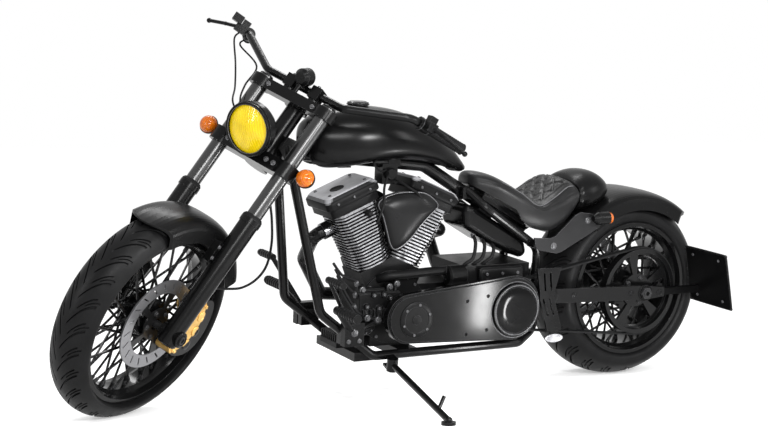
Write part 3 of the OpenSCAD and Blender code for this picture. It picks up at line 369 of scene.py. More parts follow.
def piece(name, verts, faces, mat, body, replaces=(), angle=40):
    """A new mesh that rides on a body, smooth but for edges sharper than the angle."""
    mesh = bpy.data.meshes.new(name)
    mesh.from_pydata([tuple(v) for v in verts], [], faces)
    mesh.validate()
    mesh.materials.append(MATS[mat])
    obj = add_object(name, mesh)
    mesh.shade_smooth()
    mesh.set_sharp_from_angle(angle=radians(angle))
    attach(obj, body)
    if replaces:
        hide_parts(*replaces)
    return obj


def ring_faces(rows, count, closed=False):
    """Faces between rings of points that climb their axis, the last ring joined to the first if closed."""
    faces = []
    for i in range(rows if closed else rows - 1):
        a, b = i * count, (i + 1) % rows * count
        for k in range(count):
            n = (k + 1) % count
            faces.append((a + n, b + n, b + k, a + k))
    return faces


def skin_faces(rows, count):
    """Faces of a skin over rings of points that climb their axis, closed at both ends."""
    last = (rows - 1) * count
    ends = [tuple(range(count))[::-1], tuple(range(last, last + count))]
    return ring_faces(rows, count) + ends


def smoothstep(low, high, x):
    t = min(1, max(0, (x - low) / (high - low)))
    return t * t * (3 - 2 * t)


def smooth_row(a, b, c, d, t):
    """A smooth step from row b to row c, with rows a and d as neighbours."""
    row = []
    for p, q, r, s in zip(a, b, c, d):
        square = (2 * p - 5 * q + 4 * r - s) * t * t
        cube = (3 * q - p - 3 * r + s) * t ** 3
        row.append(0.5 * (2 * q + (r - p) * t + square + cube))
    return row


def pick(row, j, closed=False):
    return row[j % len(row) if closed else min(max(j, 0), len(row) - 1)]


def smooth_line(points, fine, closed=False):
    """Rows of a smooth line through the given ones, back to its start if closed."""
    line = []
    for i in range(len(points) if closed else len(points) - 1):
        near = [pick(points, j, closed) for j in range(i - 1, i + 3)]
        line += [smooth_row(*near, k / fine) for k in range(fine)]
    return line if closed else line + [points[-1]]


# Tyres: the CAD section with a cut tread, in metres and degrees
GROOVES = [
    # start in the pitch, width in the pitch, inner end, outer end, depth; the right side is half a pitch on
    (0, 0.12, 0.05, 0.92, 1),
    (0.2, 0.07, 0.46, 0.99, 0.8),
    (0.34, 0.09, 0.22, 0.82, 0.9),
]
GROOVE_SHAPE = [(0, 0), (0.2, 1), (0.8, 1), (1, 0)]
GROOVE_RUN_IN, GROOVE_RUN_OUT = 0.06, 0.05
CROWN_STEPS, SHOULDER_STEPS, WALL_STEPS = 26, 6, 8
TYRE_WALL, RIM_LIP, RIM_GAP = 0.012, 0.01, 0.0003
TYRES = [
    # name, node, body, frame, then radius, crown radius, crown arc, width, seat radius and bead width,
    # then the tread's pitches, sweep and depth
    ("front_tyre_tread", "front_tyre", "front_wheel", FRONT_WHEEL,
     (FRONT_R, 0.073, 55, 0.146, 0.262, 0.1), (26, 15, 0.006)),
    ("rear_tyre_tread", "rear_tyre", "rear_wheel", REAR_WHEEL,
     (REAR_R, 0.165, 40, 0.238, 0.223, 0.206), (22, 19, 0.0065)),
]


def bend3(a, b, c, t):
    return a * (1 - t) ** 2 + b * 2 * t * (1 - t) + c * t * t


def half_section(radius, crown, arc, width, seat, bead):
    """Points from crown to liner, each with its share of the tread and if it is on the tread."""
    half = []
    for i in range(CROWN_STEPS + 1):
        a = radians(arc * i / CROWN_STEPS)
        point = Vector((radius - crown + crown * cos(a), crown * sin(a)))
        half.append((point, i / CROWN_STEPS, True))
    edge, h = seat + RIM_LIP, width / 2
    p0 = half[-1][0]
    p1 = Vector((p0.x - (h - p0.y) * tan(radians(arc)), h))
    p2 = Vector((p1.x - (p1.x - edge) * 0.35, h))
    p3 = Vector((edge + (p2.x - edge) * 0.25, h))
    end = Vector((edge, bead / 2))
    wall = [bend3(p0, p1, p2, i / SHOULDER_STEPS) for i in range(1, SHOULDER_STEPS + 1)]
    wall += [bend3(p2, p3, end, i / WALL_STEPS) for i in range(1, WALL_STEPS + 1)]
    wall += [Vector((seat + RIM_GAP, bead / 2)), Vector((seat + RIM_GAP, bead / 2 - TYRE_WALL)),
             Vector((seat + 0.02, h - TYRE_WALL)), Vector((radius - 0.5 * (radius - seat), h - TYRE_WALL)),
             Vector((radius - TYRE_WALL - 0.004, 0.5 * h))]
    return half + [(p, 1, False) for p in wall]


def tyre(name, node, body, place, half, pitches, sweep, depth):
    section = [(*row, 1) for row in half] + [(*row, -1) for row in reversed(half[1:])]
    columns = [(shift + start + share * part, side, inner, outer, deep * down)
               for shift, side in ((0, 1), (0.5, -1))
               for start, share, inner, outer, deep in GROOVES for part, down in GROOVE_SHAPE]
    verts = []
    for n in range(pitches):
        for share, side, inner, outer, deep in columns:
            base = 2 * pi * (n + share) / pitches
            for p, v, tread, hand in section:
                angle = base + radians(sweep) * (1 - (1 - v) ** 2)
                cut = 0
                if tread and deep and hand == side:
                    fade = 1 - smoothstep(outer - GROOVE_RUN_OUT, outer, v)
                    cut = depth * deep * smoothstep(inner, inner + GROOVE_RUN_IN, v) * fade
                r = p.x - cut
                verts.append(place @ Vector((r * cos(angle), p.y * hand, r * sin(angle))))
    faces = ring_faces(pitches * len(columns), len(section), True)
    piece(name, verts, faces, "tyre", body, (node,), angle=30)


for name, node, body, place, sizes, tread in TYRES:
    tyre(name, node, body, place, half_section(*sizes), *tread)


# Bodywork: lofts through the same rows as the CAD, in millimetres of the upright frame
SEAT_ROWS = [
    # x, half width, low, middle, high, upper power, lower power
    (642, 30, 690, 708, 724, 2.4, 2.2),
    (622, 62, 640, 690, 736, 2.6, 2.4),
    (560, 98, 572, 672, 726, 2.8, 3),
    (480, 124, 534, 630, 684, 3, 3),
    (410, 136, 522, 604, 634, 3, 3),
    (350, 140, 524, 612, 668, 2.6, 3),
    (295, 136, 560, 630, 710, 2.3, 2.8),
    (255, 124, 612, 655, 700, 2.2, 2.4),
    (244, 100, 636, 660, 688, 2.2, 2.2),
]
TANK_ROWS = [
    (1246, 34, 806, 858, 886, 2.2, 2.4),
    (1230, 66, 776, 854, 910, 2.2, 2.6),
    (1180, 98, 762, 846, 938, 2.2, 3),
    (1100, 122, 768, 848, 955, 2.2, 3.2),
    (1000, 128, 782, 852, 953, 2.2, 3.2),
    (900, 116, 784, 842, 935, 2.1, 3),
    (800, 92, 770, 814, 889, 2.1, 2.8),
    (720, 58, 745, 780, 831, 2.1, 2.6),
    (672, 34, 736, 758, 783, 2, 2.4),
    (650, 16, 740, 750, 759, 2, 2.2),
]
COWL_ROWS = [
    (242, 112, 600, 655, 704, 2.3, 2.6),
    (226, 118, 592, 655, 720, 2.3, 2.6),
    (190, 120, 600, 655, 732, 2.3, 2.6),
    (150, 112, 610, 664, 731, 2.3, 2.4),
    (116, 92, 640, 668, 714, 2.2, 2.2),
    (97, 58, 655, 672, 690, 2.1, 2),
]
TUNNEL_HALF = 40
TUNNEL_CUTS = [(700, 862, 794), (860, 1300, 838), (1180, 1300, 856)]
PAN_BACK, PAN_TILT, PAN_UP = (400, 530), atan2(694 - 530, 690 - 400), 26
GUARD_IN, GUARD_Y, GUARD_T = 341, 142, 5


def row_at(rows, u):
    i = min(int(u), len(rows) - 2)
    return smooth_row(*(pick(rows, j) for j in range(i - 1, i + 3)), u - i)


def signed_pow(v, e):
    return copysign(abs(v) ** e, v)


def guard_top(x, y):
    k = min(1, abs(y) / GUARD_Y)
    rise = GUARD_IN - 29.6 + (30 + GUARD_T) * (1 - k ** (2 / 0.7)) ** 0.35 + 3 * k ** 4
    return 1000 * REAR_R + sqrt(max(0, rise ** 2 - x * x))


def seat_bed(x, y):
    pan = PAN_BACK[1] + (max(x, 330) - PAN_BACK[0]) * tan(PAN_TILT) + PAN_UP / cos(PAN_TILT)
    return max(pan if abs(y) < 118 else 0, guard_top(x, y))


def tank_bed(x, y):
    return max([0] + [z for low, high, z in TUNNEL_CUTS if abs(y) < TUNNEL_HALF and low <= x <= high])


def section_point(row, a, bed, capped=True):
    """A point of a row's section, kept above the bed under it, or above its own middle if capped."""
    up = sin(a) > 0
    e = 2 / (row[5] if up else row[6])
    y = row[1] * signed_pow(cos(a), e)
    z = row[3] + ((row[4] - row[3]) if up else (row[3] - row[2])) * signed_pow(sin(a), e)
    floor = bed(row[0], y)
    return Vector((row[0], y, z if up else max(z, min(floor, row[3]) if capped else floor)))


def loft_grid(rows, steps, count, bed, capped=True):
    angles = [2 * pi * (k + 0.5) / count for k in range(count)]
    return [[section_point(row, a, bed, capped) for a in angles] for row in smooth_line(rows, steps)]


def loft(name, grid, mat, node, angle):
    """A closed skin over rings of points that go down their axis."""
    faces = [f[::-1] for f in skin_faces(len(grid), len(grid[0]))]
    verts = [UP_MM @ p for ring in grid for p in ring]
    return piece(name, verts, faces, mat, "chassis", (node,), angle)


TANK_GRID = loft_grid(TANK_ROWS, 12, 128, tank_bed, capped=False)
COWL_GRID = loft_grid(COWL_ROWS, 12, 96, guard_top)
loft("tank_shell", TANK_GRID, "body_paint", "fuel_tank", 40)
loft("cowl_shell", COWL_GRID, "guard_paint", "seat_cowl", 50)

# Seat: the CAD form with a quilted insert, seams and a welt
SEAT_STEPS, SEAT_COUNT = 18, 176
INSERT_FRONT, INSERT_BACK, INSERT_SIDE = 436, 276, 86
INSERT_TAPER, INSERT_FULL, INSERT_BOW = 0.2, 380, 0.0022
DIAMOND, QUILT_DEPTH, QUILT_WIDTH, PUFF, PUFF_RUN_IN = 27, 5, 3.4, 2.8, 6
# Height and width of the insert's cord, the groove inside it, the side seam and the welt behind
CORD, GROOVE, SEAM, WELT = (2.2, 2.6), (1.6, 2.2), (1.1, 2.4), (2.4, 2.8)
CORD_REACH, GROOVE_IN, SEAM_SHARE, SEAM_START, WELT_X = 8, 5, 0.94, (640, 600), 262


def ridge(line, distance):
    """The height of a line at a distance from its middle."""
    height, width = line
    return height * exp(-((distance / width) ** 2))


def seat_relief(p, along, half):
    """How far the cover stands off the CAD form, for a point of its upper side."""
    shift = 0
    taper = INSERT_TAPER * smoothstep(INSERT_FRONT, INSERT_FULL, p.x)
    side = INSERT_SIDE * (1 - INSERT_TAPER + taper)
    front = INSERT_FRONT - INSERT_BOW * p.y * p.y
    inside = min(side - abs(p.y), front - p.x, p.x - INSERT_BACK)
    if inside > -CORD_REACH:
        u, v = (along + p.y) / (2 * DIAMOND), (along - p.y) / (2 * DIAMOND)
        d = min(abs(u - round(u)), abs(v - round(v))) * 2 * DIAMOND * sqrt(0.5)
        shift += smoothstep(0, PUFF_RUN_IN, inside) * (PUFF - ridge((QUILT_DEPTH, QUILT_WIDTH), d))
        shift += ridge(CORD, inside) - ridge(GROOVE, inside - GROOVE_IN)
    shift -= ridge(SEAM, half * SEAM_SHARE - abs(p.y)) * smoothstep(*SEAM_START, p.x)
    return shift + ridge(WELT, p.x - WELT_X)


def seat():
    grid = loft_grid(SEAT_ROWS, SEAT_STEPS, SEAT_COUNT, seat_bed)
    along, crest, moved = 0, SEAT_COUNT // 4, []
    for j, ring in enumerate(grid):
        if j:
            along += (ring[crest] - grid[j - 1][crest]).length
        half = row_at(SEAT_ROWS, j / SEAT_STEPS)[1]
        shifted = []
        for k, p in enumerate(ring):
            du = pick(grid, j + 1)[k] - pick(grid, j - 1)[k]
            dv = pick(ring, k + 1, True) - pick(ring, k - 1, True)
            normal = dv.cross(du)
            normal = -normal.normalized() if normal.length > 1e-6 else Vector((0, 0, 1))
            upper = k < SEAT_COUNT // 2
            shifted.append(p + normal * (seat_relief(p, along, half) if upper else 0))
        moved.append(shifted)
    obj = loft("seat_cover", moved, "leather", "seat", 60)


seat()


# Small fittings are gathered into batches, one mesh piece per batch
def at(base, place, toward=(0, 0, 1)):
    """A frame at a place whose Z axis points the given way, in millimetres of the base frame."""
    quat = Vector(toward).normalized().to_track_quat("Z", "Y")
    return base @ move(place) @ quat.to_matrix().to_4x4()


def lifted(m, z):
    return m @ move((0, 0, z))


def circle(count, shift=0):
    """Cosine and sine of even steps round a circle, moved on by a share of a step."""
    angles = [2 * pi * (k + shift) / count for k in range(count)]
    return [(cos(a), sin(a)) for a in angles]


def corner_loop(low, high, r, fine=6):
    """A rectangle with rounded corners, from its low and high corner."""
    loop = []
    for x, y, start in ((high[0] - r, high[1] - r, 0), (low[0] + r, high[1] - r, 90),
                        (low[0] + r, low[1] + r, 180), (high[0] - r, low[1] + r, 270)):
        for k in range(fine + 1):
            a = radians(start + 90 * k / fine)
            loop.append((x + r * cos(a), y + r * sin(a)))
    return loop


class Batch:
    """Loose shapes in millimetres that become one mesh piece."""

    def __init__(self):
        self.verts, self.faces = [], []

    def add(self, m, verts, faces):
        n = len(self.verts)
        self.verts += [m @ Vector(v) for v in verts]
        self.faces += [tuple(n + i for i in f) for f in faces]

    def lathe(self, m, profile, count=24):
        """Turns (radius, height) pairs round Z, closed at both ends."""
        verts = [(r * c, r * s, z) for r, z in profile for c, s in circle(count)]
        self.add(m, verts, skin_faces(len(profile), count))

    def ring(self, m, radius, thick, flat=1, count=64, sides=12):
        verts = []
        for c, s in circle(count):
            for u, v in circle(sides):
                r = radius + thick * u
                verts.append((r * c, r * s, thick * flat * v))
        self.add(m, verts, [f[::-1] for f in ring_faces(count, sides, True)])

    def bolt(self, m, r, h):
        self.lathe(m, [(r * 1.45, 0), (r * 1.45, h * 0.22), (r * 1.3, h * 0.28)], 20)
        self.lathe(m, [(r * 1.05, h * 0.2), (r * 1.05, h * 0.9), (r * 0.88, h)], 6)

    def screw(self, m, r, h):
        self.lathe(m, [(r, 0), (r, h * 0.8), (r * 0.86, h), (r * 0.5, h), (r * 0.5, h * 0.45)], 18)

    def tube(self, m, points, r, sides=10, fine=6, closed=False):
        """A round tube along a smooth line through the points."""
        line = [Vector(p) for p in smooth_line(points, fine, closed)]
        verts, side = [], None
        for i, p in enumerate(line):
            t = (pick(line, i + 1, closed) - pick(line, i - 1, closed)).normalized()
            if side is None:
                side = t.orthogonal().normalized()
            side = (side - t * side.dot(t)).normalized()
            other = t.cross(side)
            verts += [p + r * (c * side + s * other) for c, s in circle(sides)]
        rows = len(line)
        self.add(m, verts, ring_faces(rows, sides, True) if closed else skin_faces(rows, sides))

    def block(self, m, size, cut=1.5):
        """A box with chamfered edges, centred in X and Y and standing on Z = 0."""
        x, y, z = size[0] / 2, size[1] / 2, size[2]
        verts = []
        for inset, height in ((cut, 0), (0, cut), (0, z - cut), (cut, z)):
            a, b = x - inset, y - inset
            verts += [(u, v, height) for u, v in corner_loop((-a, -b), (a, b), cut, 1)]
        self.add(m, verts, skin_faces(4, 8))

    def build(self, name, mat, slot, body="chassis", angle=35):
        return piece(name, self.verts, self.faces, mat, body, angle=angle)


LEFT, RIGHT, AHEAD, BEHIND, BELOW = (0, 1, 0), (0, -1, 0), (1, 0, 0), (-1, 0, 0), (0, 0, -1)


def left(x, y, z):
    """A frame at a place of the upright machine that faces left."""
    return at(UP_MM, (x, y, z), LEFT)


def each(add, places, face, *size, base=UP_MM, way=LEFT):
    """One shape at every (x, z) place of a face."""
    for x, z in places:
        add(at(base, (x, face, z), way), *size)


def around(count, radius, start=0, middle=(0, 0)):
    """Places round a bolt circle, from a start angle in degrees."""
    steps = circle(count, start * count / 360)
    return [(middle[0] + radius * c, middle[1] + radius * s) for c, s in steps]


# Teardrop cover between the cylinders: the CAD outline as one dome with a paler rim
HORN_PTS = [(113, 40), (87, 62), (42, 74), (-8, 76), (-58, 70), (-93, 50), (-110, 26), (-86, 2), (-48, -35),
            (-13, -75), (17, -100), (47, -110), (64, -90), (77, -50), (94, 0)]
HORN_AT = Vector((898, 70, 610))
HORN_DOME = [(1, 0), (1, 12), (0.985, 16), (0.95, 20), (0.9, 25), (0.82, 30), (0.72, 33.5),
             (0.58, 36.5), (0.42, 38.2), (0.24, 39), (0.08, 39.2)]
HORN_FINE, RIM_SHARE, RIM_Y, RIM_R = 8, 0.985, 16.5, 2.2


def horn():
    loop = smooth_line(HORN_PTS, HORN_FINE, True)
    grid = [[HORN_AT + Vector((s * x, y, s * z)) for x, z in loop] for s, y in HORN_DOME]
    loft("horn_dome", grid, "horn_grey", "horn_cover", 50)
    rim, line = Batch(), [(RIM_SHARE * x, RIM_Y, RIM_SHARE * z) for x, z in HORN_PTS]
    rim.tube(UP_MM @ move(HORN_AT), line, RIM_R, fine=HORN_FINE, closed=True)
    rim.build("horn_rim", "trim_grey", "dark_chrome")


horn()

# Rocker boxes: the CAD tiers as one casting with a bevelled top, in millimetres of the cylinder frames
HEAD_TOP, ROCKER_H = 352, 68
ROCKER_TIERS = [
    # height, half length, right side, left side, corner
    (0, 88, -92, 67, 18),
    (25, 88, -92, 67, 18),
    (28.5, 96.5, -94.5, 68.8, 18),
    (31, 98, -96, 70, 18),
    (52, 98, -96, 70, 18),
    (56.5, 95.5, -93.5, 67.5, 20),
    (65, 88, -87.5, 61, 22),
    (68, 83, -84, 57, 22),
]
# Painted shade: a thin dark dish on each rocker top stands in for the shade of its oval recess
RECESS_SHADE, RECESS_SHADE_X = [(24, 0), (24, 0.8), (22.5, 1.2), (21, 0.5), (3, 0.3)], 18


def rockers():
    shell, recess_shade = Batch(), Batch()
    for side in (1, -1):
        m = CYLINDER_MM[side]
        loops = [corner_loop((-half, low), (half, high), r) for _, half, low, high, r in ROCKER_TIERS]
        verts = [(x, y, HEAD_TOP + tier[0]) for tier, loop in zip(ROCKER_TIERS, loops) for x, y in loop]
        shell.add(m, verts, skin_faces(len(loops), len(loops[0])))
        # Painted shade: the dark dish stands in for the oval recess in the top.
        recess_shade.lathe(at(m, (side * RECESS_SHADE_X, 0, HEAD_TOP + ROCKER_H)), RECESS_SHADE, 48)
    obj = shell.build("rocker_shells", "rocker_grey", "rocker_grey", angle=30)
    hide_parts("rocker_boxes")
    recess_shade.build("rocker_recess_shade", "rubber", "engine_black")


rockers()

# Fork and handlebar fittings, in millimetres of the fork frame
LEG_X, LEG_Y, LOWER_YOKE, UPPER_YOKE = 51, 126, 593, 804
YOKE_TOP = UPPER_YOKE + 17
BAR_X, BAR_Z, CLAMP_Y = 28, 855, 50
BAR_END = Vector((-210, 446, 978))
BAR_BEND = Vector((-38, 334, 947))
GRIP_R, GRIP_LEN = 17, 128
LAMP_MM = FORK_MM @ move((LEG_X + 112, 0, LOWER_YOKE + 36)) @ turn("Y", RAKE) @ turn("Y", 90)
LAMP_R = 82
GAUGE_MM = FORK_MM @ move((BAR_X + 36, 0, BAR_Z + 24)) @ turn("Y", -58)
CALLIPER_FACE = 122
GUARD_BOLTS = [(LEG_X + x, z) for x in (-36, 36) for z in (252, 290)]
CALLIPER_CAPS, CALLIPER_BOLTS = [(-40, 96), (-58, 50), (-56, 2)], [(-26, 128), (-18, -36)]
FORK_CAP = [(23, 0), (23, 4), (20, 7), (11, 7), (10, 4)]
FORK_FOOT_CAP = [(29, 0), (26, 5), (12, 7), (11, 4)]
DUST_SEAL = [(33, 0), (33, 5), (28, 12), (25, 13)]
AXLE_WASHER = [(25, 0), (25, 2.5), (21, 4.5), (13, 4.6)]
GAUGE_FACE = [(23.5, 0), (23.5, 1.4), (4, 1.6), (3, 3.2)]
PISTON_CAP = [(17, 0), (17, 2.5), (14.5, 4), (8, 4), (7, 2.4)]


def mirrored(p, side):
    return Vector((p[0], p[1] * side, p[2]))


def fork_fittings():
    dark, steel, soft, bright, caps = (Batch() for _ in range(5))
    dark.bolt(at(FORK_MM, (0, 0, YOKE_TOP)), 17, 15)
    for s in (1, -1):
        dark.lathe(at(FORK_MM, (LEG_X, s * LEG_Y, YOKE_TOP + 6)), FORK_CAP)
        dark.lathe(at(FORK_MM, (LEG_X, s * LEG_Y, -30), BELOW), FORK_FOOT_CAP)
        soft.lathe(at(FORK_MM, (LEG_X, s * LEG_Y, 416)), DUST_SEAL, 40)
        for y in (64, 92):
            steel.bolt(at(FORK_MM, (LEG_X + 30, s * y, LOWER_YOKE), AHEAD), 6, 8)
        steel.bolt(at(FORK_MM, (LEG_X + 24, s * 88, UPPER_YOKE), AHEAD), 5.5, 8)
        for x in (-14, 14):
            steel.screw(at(FORK_MM, (BAR_X + x, s * CLAMP_Y, BAR_Z + 20)), 5.5, 5)
        way = (0, s, 0)
        dark.ring(at(FORK_MM, (LEG_X, s * 168.5, 0), way), 14.5, 3.2)
        dark.lathe(at(FORK_MM, (LEG_X, s * 162, 0), way), AXLE_WASHER, 32)
        each(steel.bolt, GUARD_BOLTS, s * 109, 4.5, 6, base=FORK_MM, way=way)
        along = mirrored(BAR_BEND - BAR_END, s).normalized()
        grip = at(FORK_MM, mirrored(BAR_END, s), along)
        for k in range(14):
            soft.ring(lifted(grip, 6 + 8.4 * k), GRIP_R - 0.4, 1.7, count=32, sides=8)
        for z in (-3, GRIP_LEN - 1):
            soft.ring(lifted(grip, z), GRIP_R - 0.6, 2.6, count=32)
        for z in (GRIP_LEN + 12, GRIP_LEN + 44):
            steel.ring(lifted(grip, z), 21, 1, count=40, sides=8)
    dark.ring(lifted(LAMP_MM, -0.5), LAMP_R - 3.4, 4, 0.9, count=96, sides=16)
    dark.ring(lifted(LAMP_MM, -10), LAMP_R, 2.4, count=96)
    bright.ring(lifted(LAMP_MM, 0.5), LAMP_R - 7.6, 1.2, count=96)
    dark.ring(lifted(GAUGE_MM, 15), 25.6, 3)
    steel.lathe(lifted(GAUGE_MM, 14), GAUGE_FACE, 48)
    dark.build("fork_trim", "small_black", "gloss_black", "fork")
    steel.build("fork_bolts", "bolt_steel", "dark_chrome", "fork")
    soft.build("fork_rubbers", "rubber", "grip_rubber", "fork")
    bright.build("lamp_trim", "trim_grey", "dark_chrome", "fork")
    each(caps.lathe, CALLIPER_CAPS, CALLIPER_FACE, PISTON_CAP, 32, base=FORK_MM)
    each(caps.bolt, CALLIPER_BOLTS, CALLIPER_FACE, 6, 7, base=FORK_MM)
    caps.build("calliper_caps", "gold", "gold_calliper", "fork")


fork_fittings()

# Hoses along the CAD routes, bent smoothly
PERCH = GRIP_LEN + 6


def bar_pt(x, y, z):
    """A point of the right bar end's frame, as the CAD turns it."""
    along = (BAR_BEND - BAR_END).normalized()
    swing, tilt = atan2(along.y, along.x), acos(along.z)
    turned = turn("Z", degrees(swing)) @ turn("Y", degrees(tilt))
    return mirrored(BAR_END + turned @ Vector((x, y, z)), -1)


HOSES = [
    # route, radius, sides
    ([(-48, 86, 154.5), (-66, 86, 190), (-130, 87, 216), (-200, 88, 250), (-246, 88, 300), (-250, 88, 356),
      (-196, 88, 418), (-110, 90, 470), (-40, 92, 502), (10, 95, 526), (25, 95, 548), (25, 95, 569.8)], 4, 10),
    ([bar_pt(14.4, 30, PERCH + 21), bar_pt(40, 30, PERCH + 21), (18, -272, 826), (44, -204, 752),
      (96, -142, 694), (76, -84, 656), (68, -76, 636), (68, -76, 616.2)], 3, 8),
    ([bar_pt(21.4, 0, PERCH + 36), bar_pt(46, 2, PERCH + 40), (9, -206, 852), (60, -166, 768),
      (98, -118, 704), (78, -54, 662), (72, -44, 640), (72, -44, 616.2)], 3, 8),
]


def hoses():
    batch = Batch()
    for route, r, sides in HOSES:
        batch.tube(FORK_MM, route, r, sides, 8)
    obj = batch.build("smooth_hoses", "rubber", "grip_rubber", "fork")
    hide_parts("brake_hoses")


hoses()

# Spoke nipples and hub bolts, in millimetres of the wheel frames
TO_WHEEL = turn("X", -90)
SPOKES, SPOKE_TURN, SPOKE_LACE = 52, 62, 5.2
WHEELS = [
    # name, body, frame, hub circle, flange, rim circle, offset at the rim, bolt circle, bolt face
    ("front", "front_wheel", FRONT_MM @ TO_WHEEL, 56, 36, 246, 10, 41, 61),
    ("rear", "rear_wheel", REAR_MM @ TO_WHEEL, 70, 84, 207, 20.6, 44, 140),
]


def wheel_fittings():
    for name, body, frame_mm, hub, hub_y, rim, rim_y, circle, face in WHEELS:
        nipples, bolts = Batch(), Batch()
        for i in range(SPOKES):
            s = 1 if i % 2 == 0 else -1
            k = 1 if i % 4 < 2 else -1
            a = 2 * pi * i / SPOKES
            b = a + radians(SPOKE_TURN * k)
            outer = Vector((rim * cos(a), rim * sin(a), s * (rim_y + SPOKE_LACE * k)))
            inner = Vector((hub * cos(b), hub * sin(b), s * (hub_y + SPOKE_LACE * k)))
            nipples.lathe(at(frame_mm, outer, inner - outer), [(6, 0), (6, 16), (5, 20)], 8)
        for x, y in around(5, circle, 36):
            bolts.bolt(at(frame_mm, (x, y, face)), 6, 7)
        nipples.build(name + "_nipples", "dark_steel", "gloss_black", body)
        bolts.build(name + "_hub_bolts", "dark_steel", "dark_chrome", body)


wheel_fittings()

# Engine fittings, in millimetres of the upright frame
PRIMARY_FACE, DERBY_FACE = 196, 206
CLUTCH = Vector((541, 0, 300))
FIN_Y = 70
CASE_LEFT, CAM_RIGHT, CAM_UP = 72, -112, 24
CASE_BOLTS = [(x, z) for x, z in around(18, 108, 0, (CRANK.x, CRANK.z)) if abs(x - CRANK.x) > 45]
CAM_BOLTS = around(9, 86, 20, (CRANK.x, CRANK.z + CAM_UP))
# Barrels 7 mm inside the fins, rows are height, radius and half length, then half width and steps round
BARREL_ROWS = [(153, 66, 52), (346, 82, 70)]
BARREL_SIDE, BARREL_STEPS = 63, 64
COVER_SCREWS = [(649, 352), (649, 240), (728, 340), (728, 230)]
CASE_RIB = [(988, 66, 404), (966, 92, 416), (900, 98, 420), (820, 98, 424), (748, 94, 424), (700, 70, 420)]
LINKS = [
    # one end, other end, radius
    ((966, 98, 384), (1022, 132, 288), 7),
    ((1066, 100, 380), (1062, 132, 296), 7),
    ((940, 98, 392), (968, 126, 300), 6),
    ((1098, 150, 262), (1020, 132, 284), 6),
    ((1022, 132, 288), (1062, 132, 296), 8),
]
LINK_EYES = [end for p, q, _ in LINKS[:3] for end in (p, q)][:5]
RELAY_AT, RELAY_FACE = (1052, 72, 268), 117
FRONT_LINES = [(1076, 60, 404), (1090, 78, 372), (1098, 92, 336), (1088, 104, 300)]
FRONT_BOSSES = [(1000, 366), (1036, 366), (1060, 330), (976, 352), (952, 336), (1016, 322)]
LEADS = [
    # route, radius, sides
    ([(944, 26, 742), (960, 52, 736), (984, 74, 700), (996, 96, 650), (1012, 98, 606), (1016, 92, 592)], 4, 10),
    ([(926, 26, 722), (920, 50, 716), (900, 84, 700), (868, 98, 676), (850, 98, 640), (840, 92, 612)], 4, 10),
    ([(950, 26, 752), (978, 40, 748), (1002, 44, 764), (1010, 38, 790)], 3.4, 8),
]
PIPE_TIP_X, PIPE_Y = 430, -216
PIPES = [
    # height at the tip, share out and share up on the way forward, the clamps' distances from the tip
    (250, 0.0318, 0.0953, (130, 330)),
    (330, 0, 0.294, (130,)),
]


def primary_fittings(dark, steel, trim, gloss):
    """Rings of the derby cover, the crank cover and the screws of the primary cover."""
    derby = left(CLUTCH.x, DERBY_FACE, CLUTCH.z)
    trim.ring(derby, 82.5, 2, count=96)
    lid = [(76, 0), (76, 3.2), (73, 4.5), (40, 4.7), (6, 4.8)]
    gloss.lathe(lifted(derby, -4.2), lid, 96)
    trim.ring(left(CLUTCH.x, PRIMARY_FACE, CLUTCH.z), 93, 1.6, count=96)
    crank = left(CRANK.x - 22, PRIMARY_FACE, CRANK.z - 18)
    dark.lathe(crank, [(58, 0), (58, 3), (54, 5), (44, 5), (42, 3), (16, 3), (15, 6), (8, 6.4)], 72)
    for x, y in around(6, 49, 20):
        steel.screw(crank @ move((x, y, 4.6)), 4.2, 3)
    each(dark.screw, COVER_SCREWS, PRIMARY_FACE - 9, 5.2, 6)


def crankcase_fittings(dark, steel, soft):
    """Case and cam bolts, then the linkage, lines and bosses ahead of the primary cover."""
    each(steel.screw, CASE_BOLTS, CASE_LEFT, 5, 5)
    each(steel.screw, CAM_BOLTS, CAM_RIGHT, 5, 5, way=RIGHT)
    cam_cover = [(74, 0), (72, 4), (40, 6), (38, 3), (10, 3)]
    dark.lathe(at(UP_MM, (CRANK.x, CAM_RIGHT, CRANK.z + CAM_UP), RIGHT), cam_cover, 64)
    dark.tube(UP_MM, CASE_RIB, 15, 14)
    for p, q, r in LINKS:
        dark.tube(UP_MM, [p, q], r, 12, 2)
    for x, y, z in LINK_EYES:
        steel.bolt(left(x, y + 7, z), 7, 9)
        dark.lathe(left(x, y - 9, z), [(12, 0), (13, 3), (13, 15), (12, 18)], 20)
    dark.block(left(1010, 108, 330), (150, 86, 16), 4)
    dark.block(left(1030, 72, 352), (96, 60, 38), 5)
    dark.lathe(left(*RELAY_AT), [(34, 0), (34, 40), (30, 46), (16, 46), (14, 42)], 36)
    each(steel.screw, around(8, 26, 0, RELAY_AT[::2]), RELAY_FACE, 3, 3)
    for k, (x, y, z) in enumerate(FRONT_LINES):
        route = [(1168 - 8 * k, 96, 470 - 20 * k), (1136, 100, 430 - 18 * k), (x + 10, y + 26, z + 4),
                 (x - 20, y + 34, z - 30), (1010 - 12 * k, 112, 262 + 6 * k)]
        soft.tube(UP_MM, route, 4.5, 10)
        steel.lathe(at(UP_MM, (x + 2, y + 28, z - 6), (0.4, 0.3, 1)), [(7, -9), (8, -6), (8, 6), (7, 9)], 6)
    each(dark.lathe, FRONT_BOSSES, 122, [(10, 0), (10, 8), (8, 11), (4, 11)], 16)
    each(steel.screw, FRONT_BOSSES, 132, 5, 4)
    for k in range(9):
        dark.block(left(968 + 13 * k, 120, 306), (5, 30, 14), 1.2)


def barrel(side, dark):
    """A dark barrel that closes the gaps between the fins."""
    verts = []
    for z, reach, half in BARREL_ROWS:
        for c, s in circle(BARREL_STEPS, 0.5):
            r = min(reach, half / abs(c), BARREL_SIDE / abs(s))
            verts.append((r * c, r * s, z))
    dark.add(CYLINDER_MM[side], verts, skin_faces(len(BARREL_ROWS), BARREL_STEPS))


